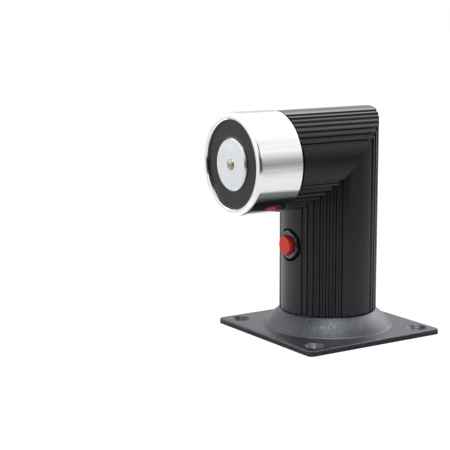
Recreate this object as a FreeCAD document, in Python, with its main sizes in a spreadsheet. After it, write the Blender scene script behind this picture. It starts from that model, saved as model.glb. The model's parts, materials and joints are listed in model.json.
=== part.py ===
import FreeCAD, Part
import math
import os
import re

import Sketcher

# Electromagnetic door holder: a square cast base, a ribbed post and a ribbed arm joined at a mitre,
# a holding magnet with a sprung ejector pin, and a release button.
# Millimetres. +Z is up, the magnet faces -Y, and the origin is the centre of the base's underside.

os.makedirs("parts", exist_ok=True)
doc = FreeCAD.newDocument("door_holder")
sheet = doc.addObject("Spreadsheet::Sheet", "Sizes")

SIZES = [
    # ribbed round profile of post and arm
    ("profile_radius", 27.5, "outer radius of the round profile"),
    ("profile_wall", 3.5, "wall of the profile between its ribs"),
    ("groove_count", 7, "grooves in each of the four ribbed groups"),
    ("groove_pitch", 7.5, "angle from groove to groove, degrees"),
    ("groove_width", 1.2, "width of a groove at its floor"),
    ("groove_depth", 1.0, "depth of a groove"),
    ("groove_mouth", 2.5, "width of a groove at its mouth"),
    ("port_inset", 2.8, "how far a screw port's centre lies inside the bore"),
    ("port_boss", 3.6, "radius of a screw port's boss"),
    ("port_hole", 1.75, "radius of a screw port's hole"),
    ("arm_height", 99.0, "height of the arm's axis"),
    ("arm_reach", 36.8, "post axis to the arm's front end"),
    # base
    ("base_width", 90.5, "width of the square base"),
    ("base_thick", 3.0, "thickness of the base's flat"),
    ("base_corner", 2.8, "corner radius of the base"),
    ("base_edge_round", 0.8, "rounding of the flat's top edge"),
    ("base_height", 13.0, "height of the base's top, where the post stands"),
    ("base_wall", 3.5, "thickness of the base's top web"),
    ("dome_margin", 9.15, "from the dome's foot to the base's edge"),
    ("dome_inset", 0.3, "how far the dome's top stays inside the post"),
    ("dome_curve", 33.0, "radius of the dome's bulge"),
    ("dome_lip", 0.6, "bevel between dome and flat"),
    ("dome_wall", 4.1, "wall between the dome's foot and the hollow underneath"),
    ("seat_gap", 0.6, "height of the shadow gap under the post"),
    ("seat_inset", 0.3, "how far the post's seat stays inside the floors of the grooves"),
    ("cavity_inset", 1.4, "how far the hollow's top stays inside the dome's top"),
    ("opening_margin", 7.5, "from the web's opening to the post's bore"),
    ("floor_hole_margin", 9.25, "floor screw hole's distance from the base's edge"),
    ("floor_hole", 3.0, "radius of a floor screw hole"),
    ("floor_sink", 5.7, "radius of a floor screw countersink"),
    # screws
    ("thread_gap", 0.05, "gap of a screw in its hole"),
    ("web_hole", 2.1, "radius of the base screw holes in the web"),
    ("base_screw_head", 3.3, "head radius of a base screw"),
    ("base_screw_head_height", 2.2, "head height of a base screw"),
    ("base_screw_length", 12.0, "length of a base screw under its head"),
    ("disc_screw_head", 2.8, "head radius of a disc screw"),
    ("disc_screw_length", 11.0, "length of a disc screw"),
    # corner cleat
    ("cleat_gap", 0.1, "gap between cleat and profile"),
    ("cleat_bore", 14.5, "radius of the cleat's bore"),
    ("cleat_reach", 31.5, "cleat's reach down the post from the arm's axis"),
    ("cleat_disc_gap", 2.7, "gap between the cleat and the mounting disc"),
    ("lead_channel_width", 6.0, "width of the lead channel in the cleat"),
    ("lead_channel_depth", 1.4, "how far the channel's floor lies beyond the leads"),
    # magnet
    ("disc_thick", 3.0, "thickness of the mounting disc"),
    ("disc_seat", 0.3, "depth of the turned seat for the disc in the profile's wall"),
    ("disc_gap", 0.1, "gap round the mounting disc"),
    ("gasket_thick", 1.1, "thickness of the seal between arm and pot"),
    ("gasket_inset", 1.6, "how far the seal stays inside the profile's surface"),
    ("gasket_width", 5.0, "width of the seal's ring"),
    ("pot_radius", 28.0, "outer radius of the magnet pot"),
    ("pot_bore", 24.2, "inner radius of the magnet pot"),
    ("pot_length", 28.0, "length of the magnet pot"),
    ("pot_back", 5.0, "back wall of the magnet pot"),
    ("pot_front_round", 2.0, "rounding of the pot's front edge"),
    ("pot_mouth_bevel", 0.45, "bevel of the pot's mouth"),
    ("pot_rear_bevel", 0.5, "bevel of the pot's rear edge"),
    ("core_radius", 14.2, "radius of the inner pole"),
    ("core_bevel", 0.8, "bevel of the inner pole's front edge"),
    ("resin_recess", 1.6, "how far the resin lies behind the pole faces"),
    ("resin_thick", 3.4, "thickness of the resin"),
    ("inner_gap", 0.1, "gap between the magnet's inner pieces"),
    ("bobbin_wall", 1.0, "wall of the coil bobbin"),
    ("winding_margin", 0.9, "bobbin flange left proud of the winding"),
    ("bolt_radius", 5.0, "radius of the magnet bolt's thread"),
    ("bolt_head_flats", 17.0, "across flats of the magnet bolt's head"),
    ("bolt_head_height", 6.4, "height of the magnet bolt's head"),
    ("bolt_length", 15.3, "length of the magnet bolt under its head"),
    ("bolt_clearance", 0.3, "gap round the magnet bolt in disc and pot"),
    ("bolt_end_gap", 1.0, "length of thread left free in front of the magnet bolt"),
    ("lead_hole_inset", 6.5, "how far the lead hole lies inside the profile's bore"),
    ("lead_hole", 2.0, "radius of the lead hole in the pot"),
    ("grommet_wall", 0.6, "wall of the lead grommet"),
    ("grommet_flange", 0.8, "flange of the lead grommet"),
    # ejector
    ("ejector_radius", 3.0, "radius of the ejector pin"),
    ("ejector_gap", 0.05, "running gap round the ejector pin"),
    ("ejector_proud", 1.1, "how far the pin stands out of the pole"),
    ("ejector_dome", 1.0, "height of the pin's domed end"),
    ("ejector_guide", 4.5, "length of the pin's guide in the pole"),
    ("ejector_collar", 4.2, "radius of the pin's collar"),
    ("ejector_collar_height", 2.0, "height of the pin's collar"),
    ("ejector_stem", 2.2, "radius of the pin's stem inside the spring"),
    ("ejector_stem_length", 5.5, "length of the pin's stem"),
    ("ejector_wire", 0.35, "radius of the ejector spring's wire"),
    ("ejector_turns", 5, "turns of the ejector spring"),
    # release button
    ("button_drop", 47.6, "how far the button's axis lies below the arm's axis"),
    ("button_window", 9.3, "radius of the window in the post"),
    ("cap_radius", 5.0, "radius of the button cap"),
    ("cap_proud", 3.1, "how far the cap stands out of the profile"),
    ("cap_length", 3.4, "length of the button cap"),
    ("cap_socket", 1.9, "depth of the cap's socket for the plunger"),
    ("cap_round", 0.35, "rounding of the cap's front edge"),
    ("cap_flute", 0.32, "radius of a flute in the cap's side"),
    ("cap_flute_count", 20, "flutes round the cap"),
    ("cap_rim", 0.6, "plain rim in front of the cap's flutes"),
    ("cap_gap", 0.3, "gap round the cap in the barrel"),
    ("button_travel", 1.8, "travel of the button"),
    ("barrel_radius", 6.0, "radius of the switch's threaded barrel"),
    ("barrel_proud", 0.3, "how far the barrel stands out of the profile"),
    ("barrel_flange", 7.5, "radius of the barrel's flange"),
    ("barrel_flange_height", 2.4, "height of the barrel's flange"),
    ("plunger_radius", 2.5, "radius of the plunger"),
    ("plunger_collar", 3.5, "radius of the plunger's collar"),
    ("plunger_collar_height", 1.9, "height of the plunger's collar"),
    ("plunger_tail", 1.5, "radius of the plunger's tail"),
    ("plunger_tail_length", 5.0, "length of the tail behind the bridge"),
    ("stop_gap", 0.3, "gap between a moving stop and its seat"),
    ("nut_radius", 8.2, "radius of the dress nut"),
    ("nut_proud", 0.6, "how far the dress nut stands out of the profile"),
    ("nut_bevel", 0.7, "bevel of the dress nut's front edge"),
    ("nut_flute", 0.5, "radius of a flute in the dress nut"),
    ("nut_flute_count", 16, "flutes round the dress nut"),
    ("washer_thick", 0.6, "thickness of the washer"),
    ("case_radius", 7.4, "radius of the switch case"),
    ("case_wall", 1.2, "wall of the switch case"),
    ("case_length", 14.4, "length of the switch case"),
    ("bridge_radius", 4.9, "radius of the contact bridge"),
    ("bridge_thick", 0.6, "thickness of the contact bridge"),
    ("tag_thick", 0.6, "thickness of a contact tag"),
    ("tag_width", 2.4, "width of a contact tag"),
    ("tag_offset", 5.4, "switch axis to a contact tag's inner face"),
    ("tag_tail", 4.0, "length of a tag behind the case"),
    ("spring_wire", 0.3, "radius of the button spring's wire"),
    ("spring_radius", 2.7, "mean radius of the button spring"),
    ("spring_turns", 5, "turns of the button spring"),
    ("spring_sides", 6, "sides that a spring wire's round section is drawn with"),
    # bracket and terminals
    ("bracket_thick", 1.5, "sheet of the inner bracket"),
    ("bracket_setback", 7.0, "how far the bracket lies behind the profile's surface"),
    ("bracket_width", 18.0, "width of the bracket's upright"),
    ("foot_end", 2.4, "length of the bracket's foot past its screws"),
    ("foot_depth", 16.0, "depth of the bracket's foot"),
    ("foot_screw_margin", 2.6, "bracket screw's distance from the web's opening"),
    ("foot_screw", 1.5, "radius of a bracket screw"),
    ("foot_screw_head", 2.8, "head radius of a bracket screw"),
    ("foot_screw_head_height", 1.8, "head height of a bracket screw"),
    ("foot_screw_length", 6.0, "length of a bracket screw under its head"),
    ("block_length", 16.0, "length of the terminal block"),
    ("block_depth", 17.0, "depth of the terminal block"),
    ("block_height", 10.5, "height of the terminal block"),
    ("block_gap", 0.1, "gap between block and bracket"),
    ("way_pitch", 9.0, "distance between the block's two ways"),
    ("way_drop", 6.2, "bracket's underside to a way's axis"),
    ("clamp_radius", 2.3, "outer radius of a clamp tube"),
    ("clamp_bore", 1.5, "bore of a clamp tube"),
    ("clamp_length", 14.0, "length of a clamp tube"),
    ("clamp_screw", 1.4, "radius of a clamp screw"),
    ("clamp_screw_offset", 4.5, "clamp screw's distance from the block's middle"),
    # leads and diode
    ("lead_radius", 0.65, "radius of a lead"),
    ("lead_bend", 4.0, "tightest bend of a lead"),
    ("corner_bend", 8.0, "bend of a lead at the corner"),
    ("lead_sides", 8, "sides that a lead's round section is drawn with"),
    ("diode_radius", 1.3, "radius of the diode's body"),
    ("diode_length", 4.4, "length of the diode's body"),
    ("diode_wire", 0.3, "radius of the diode's wires"),
    # working room
    ("overcut", 1.0, "how far a cut runs past what it cuts"),
]

for row, (alias, number, note) in enumerate(SIZES, start=1):
    sheet.set("A%d" % row, note)
    sheet.set("B%d" % row, str(number))
    sheet.setAlias("B%d" % row, alias)
doc.recompute()

ALIASES = {alias for alias, number, note in SIZES}

# places worked out from the sizes, as words that the features are bound to
PROFILE_BORE = "(profile_radius - profile_wall)"
BASE_HALF = "(base_width / 2)"
DOME_FOOT = "(%s - dome_margin)" % BASE_HALF
DOME_TOP = "(profile_radius - dome_inset)"
SEAT_RIM = "(profile_radius - groove_depth - seat_inset)"
SEAT_FOOT = "(base_height - seat_gap)"
CAVITY_FOOT = "(%s - dome_wall)" % DOME_FOOT
CAVITY_TOP = "(%s - cavity_inset)" % DOME_TOP
OPENING = "(%s - opening_margin)" % PROFILE_BORE
WEB_UNDER = "(base_height - base_wall)"
PORT_X = "((%s - port_inset) * cos(45))" % PROFILE_BORE
LEAD_OFFSET = "(%s - lead_hole_inset)" % PROFILE_BORE
DISC_REAR = "(arm_reach - disc_thick)"
CLEAT_ARM_REACH = "(%s - cleat_disc_gap)" % DISC_REAR
GASKET_RIM = "(profile_radius - gasket_inset)"
POT_REAR = "(arm_reach + gasket_thick)"
POT_FLOOR = "(%s + pot_back)" % POT_REAR
POT_FRONT = "(%s + pot_length)" % POT_REAR
RESIN_FRONT = "(%s - resin_recess)" % POT_FRONT
RESIN_REAR = "(%s - resin_thick)" % RESIN_FRONT
BOBBIN_REAR = "(%s + inner_gap)" % POT_FLOOR
BOBBIN_FRONT = "(%s - inner_gap)" % RESIN_REAR
BOBBIN_BORE = "(core_radius + inner_gap)"
BOBBIN_RIM = "(pot_bore - inner_gap)"
BOLT_END = "(%s + bolt_length)" % DISC_REAR
SHOULDER = "(%s - ejector_guide)" % POT_FRONT
CHAMBER = "(ejector_collar + 2 * ejector_gap)"
COLLAR_FRONT = "(%s - ejector_gap)" % SHOULDER
COLLAR_REAR = "(%s - ejector_collar_height)" % COLLAR_FRONT
BUTTON_HEIGHT = "(arm_height - button_drop)"
CAP_FRONT = "(profile_radius + cap_proud)"
BARREL_FRONT = "(profile_radius + barrel_proud)"
NUT_FRONT = "(profile_radius + nut_proud)"
BRACKET_FRONT = "(profile_radius - bracket_setback)"
BRACKET_REAR = "(%s - bracket_thick)" % BRACKET_FRONT
FLANGE_REAR = "(%s - barrel_flange_height)" % BRACKET_REAR
NUT_REAR = "(%s + washer_thick)" % BRACKET_FRONT
CAP_REAR = "(%s - cap_length)" % CAP_FRONT
WELL_FLOOR = "(%s - button_travel - cap_gap)" % CAP_REAR
CASE_REAR = "(%s - case_length)" % FLANGE_REAR
CASE_FLOOR = "(%s + case_wall)" % CASE_REAR
PLUNGER_COLLAR_FRONT = "(%s - stop_gap)" % FLANGE_REAR
BRIDGE_FRONT = "(%s - plunger_collar_height)" % PLUNGER_COLLAR_FRONT
BRIDGE_REAR = "(%s - bridge_thick)" % BRIDGE_FRONT
LIP_REAR = "(%s + stop_gap)" % BRIDGE_FRONT
FOOT_TOP = "(base_height + bracket_thick)"
FOOT_SCREW_X = "(%s + foot_screw_margin)" % OPENING
FOOT_HALF = "(%s + foot_end)" % FOOT_SCREW_X
WAY_HEIGHT = "(base_height - way_drop)"
BLOCK_TOP = "(base_height - block_gap)"
BLOCK_BOTTOM = "(%s - block_height)" % BLOCK_TOP
LEAD_DROP = "((block_depth / 2 + %s) / 2)" % OPENING

# how near two lengths are when they count as equal
NEAR = 1e-4
# the share of a wire's run that a bend at its end may take
BEND_SHARE = 0.45

UP = FreeCAD.Rotation()
# local +Z points out of the post towards -Y, and local +Y points up
OUTWARD = FreeCAD.Rotation(FreeCAD.Vector(1, 0, 0), 90)
# local +Z points from the arm's front end back towards the post, and local +Y points up
INWARD = FreeCAD.Rotation(FreeCAD.Vector(0, 1, 1), 180)
# local +Z points down
DOWN = FreeCAD.Rotation(FreeCAD.Vector(1, 0, 0), 180)

FLOOR_ORIGIN = ("0", "0", "0")
ARM_AXIS = ("0", "0", "arm_height")
ARM_END = ("0", "-arm_reach", "arm_height")
BUTTON_AXIS = ("0", "0", BUTTON_HEIGHT)


def words(expression):
    """The expression with each alias written as a cell of the sheet."""
    def cell(match):
        name = match.group(0)
        return "Sizes." + name if name in ALIASES else name
    return re.sub(r"[a-z_]+", cell, expression)


def value(expression):
    """The number that an expression gives now."""
    return float(sheet.evalExpression(words(expression)))


def bind(thing, prop, expression):
    thing.setExpression(prop, words(expression))


def place(thing, base, rotation):
    """Put a body or primitive at a base point given in words."""
    thing.Placement = FreeCAD.Placement(FreeCAD.Vector(), rotation)
    for axis, expression in zip("xyz", base):
        if expression != "0":
            bind(thing, "Placement.Base." + axis, expression)


def new_body(label, base=FLOOR_ORIGIN, rotation=UP):
    body = doc.addObject("PartDesign::Body", label)
    body.Label = label
    place(body, base, rotation)
    return body


def new_sketch(body, role, name, height=None, turn=None):
    """A sketch on one of the body's origin planes, lifted or turned if wanted."""
    plane = [item for item in body.Origin.OriginFeatures if item.Role == role][0]
    sketch = body.newObject("Sketcher::SketchObject", name)
    sketch.AttachmentSupport = [(plane, "")]
    sketch.MapMode = "FlatFace"
    if height:
        bind(sketch, "AttachmentOffset.Base.z", height)
    if turn:
        sketch.AttachmentOffset = FreeCAD.Placement(
            FreeCAD.Vector(), FreeCAD.Rotation(FreeCAD.Vector(0, 0, 1), value(turn)))
        bind(sketch, "AttachmentOffset.Rotation.Angle", turn)
    return sketch


def hold(sketch, kind, geometry, point, expression):
    """Hold a point's distance from the sketch's origin to an expression."""
    if expression == "0":
        axis = -2 if kind == "DistanceX" else -1
        sketch.addConstraint(Sketcher.Constraint("PointOnObject", geometry, point, axis))
        return
    number = value(expression)
    index = sketch.addConstraint(Sketcher.Constraint(kind, -1, 1, geometry, point, number))
    bind(sketch, "Constraints[%d]" % index, expression)


def circle(sketch, x, y, radius):
    centre = FreeCAD.Vector(value(x), value(y), 0)
    index = sketch.addGeometry(Part.Circle(centre, FreeCAD.Vector(0, 0, 1), value(radius)), False)
    hold(sketch, "DistanceX", index, 3, x)
    hold(sketch, "DistanceY", index, 3, y)
    held = sketch.addConstraint(Sketcher.Constraint("Radius", index, value(radius)))
    bind(sketch, "Constraints[%d]" % held, radius)


def outline(sketch, points, arcs=None):
    """A closed outline of straight edges through points given in words.

    arcs names the edges that bulge to the right of their run, by number, with their radius."""
    arcs = arcs or {}
    spots = [FreeCAD.Vector(value(x), value(y), 0) for x, y in points]
    count = len(spots)
    edges = []
    for number, start in enumerate(spots):
        end = spots[(number + 1) % count]
        if number not in arcs:
            edges.append((sketch.addGeometry(Part.LineSegment(start, end), False), 1, 2))
            continue
        radius = value(arcs[number])
        run = end - start
        left = FreeCAD.Vector(-run.y, run.x, 0)
        left.normalize()
        reach = (radius ** 2 - (run.Length / 2) ** 2) ** 0.5
        middle = (start + end) * 0.5 - left * (radius - reach)
        arc = Part.Arc(start, middle, end)
        index = sketch.addGeometry(arc, False)
        kept = sketch.Geometry[index]
        first = 1 if kept.StartPoint.distanceToPoint(start) < NEAR else 2
        edges.append((index, first, 3 - first))
        held = sketch.addConstraint(Sketcher.Constraint("Radius", index, radius))
        bind(sketch, "Constraints[%d]" % held, arcs[number])
    for number, (index, first, last) in enumerate(edges):
        following, its_first, its_last = edges[(number + 1) % count]
        sketch.addConstraint(Sketcher.Constraint("Coincident", index, last, following, its_first))
    for (index, first, last), (x, y) in zip(edges, points):
        hold(sketch, "DistanceX", index, first, x)
        hold(sketch, "DistanceY", index, first, y)


def box_outline(sketch, left, right, bottom, top):
    outline(sketch, [(left, bottom), (right, bottom), (right, top), (left, top)])


def pad(body, sketch, length, downwards=False):
    feature = body.newObject("PartDesign::Pad", sketch.Name + "_pad")
    feature.Profile = sketch
    bind(feature, "Length", length)
    feature.Reversed = downwards
    body.Tip = feature
    doc.recompute()
    return feature


def pocket(body, sketch, length=None, along_normal=False, both_ways=False):
    """Cut a sketch away, through everything unless a length is given."""
    before = body.Shape.Volume
    feature = body.newObject("PartDesign::Pocket", sketch.Name + "_pocket")
    feature.Profile = sketch
    if length:
        feature.Type = "Length"
        bind(feature, "Length", length)
    else:
        feature.Type = "ThroughAll"
    feature.Reversed = along_normal
    if both_ways:
        feature.SideType = "Symmetric"
    body.Tip = feature
    doc.recompute()
    if not body.Shape.Volume < before:
        raise RuntimeError("%s cuts nothing" % feature.Label)
    return feature


def spin(body, sketch):
    """Revolve a sketch about its vertical axis."""
    feature = body.newObject("PartDesign::Revolution", sketch.Name + "_spin")
    feature.Profile = sketch
    feature.ReferenceAxis = (sketch, ["V_Axis"])
    feature.Angle = 360
    body.Tip = feature
    doc.recompute()
    return feature


def spin_away(body, sketch):
    """Cut away what a sketch sweeps about its vertical axis."""
    before = body.Shape.Volume
    feature = body.newObject("PartDesign::Groove", sketch.Name + "_groove")
    feature.Profile = sketch
    feature.ReferenceAxis = (sketch, ["V_Axis"])
    feature.Angle = 360
    body.Tip = feature
    doc.recompute()
    if not body.Shape.Volume < before:
        raise RuntimeError("%s cuts nothing" % feature.Label)
    return feature


def ring_pattern(body, feature, sketch, count):
    """Repeat a feature evenly round the axis that stands on its sketch's origin."""
    pattern = body.newObject("PartDesign::PolarPattern", feature.Name + "_ring")
    pattern.Originals = [feature]
    pattern.Axis = (sketch, ["N_Axis"])
    pattern.Angle = 360
    bind(pattern, "Occurrences", count)
    body.Tip = pattern
    doc.recompute()
    return pattern


def edges_where(shape, test):
    return ["Edge%d" % (i + 1) for i, edge in enumerate(shape.Edges) if test(edge)]


def round_edges(body, names, radius, kind="Fillet"):
    """Round or bevel named edges of the body's last feature."""
    if not names:
        raise RuntimeError("no edge found on %s" % body.Label)
    base = body.Tip
    feature = body.newObject("PartDesign::" + kind, "%s_%s" % (body.Name, kind.lower()))
    feature.Base = (base, names)
    bind(feature, "Radius" if kind == "Fillet" else "Size", radius)
    body.Tip = feature
    doc.recompute()
    return feature


def turned(label, points, base, rotation, arcs=None):
    """A turned piece: points are (radius, distance along the axis), in words."""
    body = new_body(label, base, rotation)
    sketch = new_sketch(body, "XZ_Plane", label + "_section")
    outline(sketch, points, arcs)
    spin(body, sketch)
    return body


def cylinder(name, radius, start, length, base, rotation, x="0", y="0"):
    """A Part cylinder along its local axis, moved sideways by x and y, for booleans."""
    thing = doc.addObject("Part::Cylinder", name)
    bind(thing, "Radius", radius)
    bind(thing, "Height", length)
    local = [x, y, start]
    axes = [rotation.multVec(FreeCAD.Vector(*unit)) for unit in ((1, 0, 0), (0, 1, 0), (0, 0, 1))]
    spot = []
    for index, base_word in enumerate(base):
        terms = [base_word]
        for word, axis in zip(local, axes):
            sign = round(axis[index])
            if sign and word != "0":
                terms.append("%d * (%s)" % (sign, word))
        spot.append(" + ".join(terms))
    place(thing, spot, rotation)
    return thing


def block(name, low, high):
    """A Part box between two corners given in words."""
    thing = doc.addObject("Part::Box", name)
    for prop, start, end in zip(("Length", "Width", "Height"), low, high):
        bind(thing, prop, "(%s) - (%s)" % (end, start))
    place(thing, low, UP)
    return thing


def fuse(label, things):
    result = doc.addObject("Part::MultiFuse", label)
    result.Shapes = things
    result.Label = label
    return result


def cut(label, base, tools):
    result = doc.addObject("Part::Cut", label)
    result.Base = base
    if len(tools) == 1:
        result.Tool = tools[0]
    else:
        result.Tool = fuse(label + "_cutters", tools)
    result.Label = label
    return result


def group(label, things):
    """Like pieces that stay separate solids in one node."""
    result = doc.addObject("Part::Compound", label)
    result.Links = things
    result.Label = label
    return result


def mitre(body, length, reach):
    """Cut the far end at 45 degrees, longer on the +Y side."""
    past = "(%s + 2 * overcut)" % reach
    sketch = new_sketch(body, "YZ_Plane", body.Name + "_mitre")
    outline(sketch, [
        ("-" + past, "%s - %s" % (length, past)),
        (past, "%s + %s" % (length, past)),
        ("-" + past, "%s + %s" % (length, past)),
    ])
    pocket(body, sketch, both_ways=True)


# profile: a round tube with four screw ports, four groups of grooves and a mitred end
def profile_leg(label, length, base, rotation):
    body = new_body(label, base, rotation)
    tube = new_sketch(body, "XY_Plane", label + "_tube")
    circle(tube, "0", "0", "profile_radius")
    circle(tube, "0", "0", PROFILE_BORE)
    stock = "%s + profile_radius + overcut" % length
    pad(body, tube, stock)

    boss = new_sketch(body, "XY_Plane", label + "_port_boss")
    circle(boss, PORT_X, PORT_X, "port_boss")
    ring_pattern(body, pad(body, boss, stock), boss, "4")
    hole = new_sketch(body, "XY_Plane", label + "_port_hole")
    circle(hole, PORT_X, PORT_X, "port_hole")
    ring_pattern(body, pocket(body, hole, along_normal=True), hole, "4")

    # the first groove of a group, turned to its place, then repeated in the group and round the tube
    first = "45 - (groove_count - 1) * groove_pitch / 2"
    slot = new_sketch(body, "XY_Plane", label + "_slot", turn=first)
    floor = "profile_radius - groove_depth"
    over = "profile_radius + groove_depth / 4"
    half = "groove_width / 2"
    wide = "(groove_mouth / 2 + (groove_mouth - groove_width) / 8)"
    outline(slot, [(floor, "-" + half), (over, "-" + wide), (over, wide), (floor, half)])
    cut_slot = pocket(body, slot, along_normal=True)
    grooves = body.newObject("PartDesign::MultiTransform", label + "_grooves")
    grooves.Originals = [cut_slot]
    in_group = doc.addObject("PartDesign::PolarPattern", label + "_group")
    in_group.Axis = (slot, ["N_Axis"])
    bind(in_group, "Angle", "(groove_count - 1) * groove_pitch")
    bind(in_group, "Occurrences", "groove_count")
    groups = doc.addObject("PartDesign::PolarPattern", label + "_groups")
    groups.Axis = (slot, ["N_Axis"])
    groups.Angle = 360
    groups.Occurrences = 4
    grooves.Transformations = [in_group, groups]
    body.Tip = grooves
    doc.recompute()
    mitre(body, length, "profile_radius")
    return body


def make_post():
    body = profile_leg("post_housing", "(arm_height - base_height)", ("0", "0", "base_height"), UP)
    window = new_sketch(body, "XZ_Plane", "post_window")
    circle(window, "0", "%s - base_height" % BUTTON_HEIGHT, "button_window")
    pocket(body, window, "profile_radius + overcut", along_normal=True)
    return body


def make_arm():
    body = profile_leg("arm_housing", "arm_reach", ARM_END, INWARD)
    seat = new_sketch(body, "XY_Plane", "arm_disc_seat")
    circle(seat, "0", "0", "%s + disc_seat" % PROFILE_BORE)
    pocket(body, seat, "disc_thick + disc_gap", along_normal=True)
    return body


# corner cleat: a cast elbow glued into both profiles, cut away round the screw ports
def cleat_leg(label, reach, base, rotation):
    body = new_body(label, base, rotation)
    outer = "(%s - cleat_gap)" % PROFILE_BORE
    ring = new_sketch(body, "XY_Plane", label + "_ring")
    circle(ring, "0", "0", outer)
    circle(ring, "0", "0", "cleat_bore")
    pad(body, ring, "%s + profile_radius + overcut" % reach)
    notch = new_sketch(body, "XY_Plane", label + "_notch")
    circle(notch, PORT_X, PORT_X, "port_boss + 2 * cleat_gap")
    ring_pattern(body, pocket(body, notch, along_normal=True), notch, "4")
    channel = new_sketch(body, "XY_Plane", label + "_channel")
    half = "lead_channel_width / 2"
    box_outline(channel, "-" + half, half, "cleat_bore / 2", "%s + lead_channel_depth" % LEAD_OFFSET)
    pocket(body, channel, along_normal=True)
    mitre(body, reach, "profile_radius")
    return body


def make_cleat():
    arm_end = ("0", "-" + CLEAT_ARM_REACH, "arm_height")
    post_end = ("0", "0", "arm_height - cleat_reach")
    arm_leg = cleat_leg("cleat_arm_leg", CLEAT_ARM_REACH, arm_end, INWARD)
    post_leg = cleat_leg("cleat_post_leg", "cleat_reach", post_end, UP)
    return fuse("corner_cleat", [arm_leg, post_leg])


# base: a square flat with a dome, hollow underneath
def make_base():
    body = new_body("base_plate")
    flat = new_sketch(body, "XY_Plane", "base_flat")
    box_outline(flat, "-" + BASE_HALF, BASE_HALF, "-" + BASE_HALF, BASE_HALF)
    pad(body, flat, "base_thick")
    upright = edges_where(body.Shape, lambda e: abs(e.Vertexes[0].Z - e.Vertexes[-1].Z) > NEAR)
    round_edges(body, upright, "base_corner")
    top_rim = edges_where(body.Shape, lambda e: e.BoundBox.ZMin > value("base_thick") - NEAR)
    round_edges(body, top_rim, "base_edge_round")

    dome = new_sketch(body, "XZ_Plane", "base_dome")
    lip = "%s + dome_lip" % DOME_FOOT
    outline(dome, [
        ("0", "base_thick / 2"), (lip, "base_thick / 2"), (lip, "base_thick"),
        (DOME_FOOT, "base_thick + dome_lip"), (DOME_TOP, SEAT_FOOT), (SEAT_RIM, SEAT_FOOT),
        (SEAT_RIM, "base_height"), ("0", "base_height"),
    ], arcs={3: "dome_curve"})
    spin(body, dome)

    hollow = new_sketch(body, "XZ_Plane", "base_hollow")
    outline(hollow, [("0", "0"), (CAVITY_FOOT, "0"), (CAVITY_TOP, WEB_UNDER), ("0", WEB_UNDER)])
    spin_away(body, hollow)
    opening = new_sketch(body, "XY_Plane", "base_opening")
    circle(opening, "0", "0", OPENING)
    pocket(body, opening, along_normal=True)

    port = new_sketch(body, "XY_Plane", "base_port_hole")
    circle(port, PORT_X, PORT_X, "web_hole")
    ring_pattern(body, pocket(body, port, along_normal=True), port, "4")
    tapped = new_sketch(body, "XY_Plane", "base_bracket_hole")
    circle(tapped, FOOT_SCREW_X, "0", "foot_screw")
    ring_pattern(body, pocket(body, tapped, along_normal=True), tapped, "2")

    holes = new_sketch(body, "XY_Plane", "base_floor_holes", height="base_thick")
    across = "(%s - floor_hole_margin)" % BASE_HALF
    for x in ("-" + across, across):
        for y in ("-" + across, across):
            circle(holes, x, y, "floor_hole")
    doc.recompute()
    drilled = body.newObject("PartDesign::Hole", "base_drilling")
    drilled.Profile = holes
    doc.recompute()
    drilled.DepthType = "ThroughAll"
    drilled.Threaded = False
    drilled.DrillPoint = "Flat"
    drilled.HoleCutType = "Countersink"
    drilled.HoleCutCustomValues = True
    drilled.HoleCutCountersinkAngle = 90
    bind(drilled, "Diameter", "2 * floor_hole")
    bind(drilled, "HoleCutDiameter", "2 * floor_sink")
    body.Tip = drilled
    doc.recompute()
    return body


def screw(name, points, x, y, base, rotation):
    """A turned screw with its axis moved sideways from the base point."""
    spot = list(base)
    axes = [rotation.multVec(FreeCAD.Vector(*unit)) for unit in ((1, 0, 0), (0, 1, 0))]
    for index in range(3):
        for word, axis in ((x, axes[0]), (y, axes[1])):
            sign = round(axis[index])
            if sign:
                spot[index] += " + %d * (%s)" % (sign, word)
    return turned(name, points, spot, rotation)


def four_corners(offset):
    return [(sx + offset, sy + offset) for sx in ("", "-") for sy in ("", "-")]


def make_base_screws():
    shank = "port_hole - thread_gap"
    points = [
        ("0", "0"), ("base_screw_head", "0"), ("base_screw_head", "base_screw_head_height"),
        (shank, "base_screw_head_height"),
        (shank, "base_screw_head_height + base_screw_length"),
        ("0", "base_screw_head_height + base_screw_length"),
    ]
    base = ("0", "0", "%s - base_screw_head_height" % WEB_UNDER)
    screws = [screw("base_screw_%d" % n, points, x, y, base, UP)
              for n, (x, y) in enumerate(four_corners(PORT_X))]
    return group("base_screws", screws)


# magnet: local +Z runs outward from the post axis
def make_mounting_disc():
    radius = "%s + disc_seat - disc_gap" % PROFILE_BORE
    body = turned("mounting_disc", [
        ("bolt_radius + bolt_clearance", DISC_REAR), (radius, DISC_REAR),
        (radius, "arm_reach"), ("bolt_radius + bolt_clearance", "arm_reach"),
    ], ARM_AXIS, OUTWARD)
    lead = new_sketch(body, "XY_Plane", "disc_lead_hole")
    circle(lead, "0", LEAD_OFFSET, "lead_hole + grommet_wall")
    pocket(body, lead, along_normal=True)
    holes = new_sketch(body, "XY_Plane", "disc_screw_holes", height="arm_reach")
    for x, y in four_corners(PORT_X):
        circle(holes, x, y, "port_hole + thread_gap")
    doc.recompute()
    drilled = body.newObject("PartDesign::Hole", "disc_drilling")
    drilled.Profile = holes
    doc.recompute()
    drilled.DepthType = "ThroughAll"
    drilled.Threaded = False
    drilled.DrillPoint = "Flat"
    drilled.HoleCutType = "Countersink"
    drilled.HoleCutCustomValues = True
    drilled.HoleCutCountersinkAngle = 90
    bind(drilled, "Diameter", "2 * (port_hole + thread_gap)")
    bind(drilled, "HoleCutDiameter", "2 * (disc_screw_head + thread_gap)")
    body.Tip = drilled
    doc.recompute()
    return body


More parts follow.
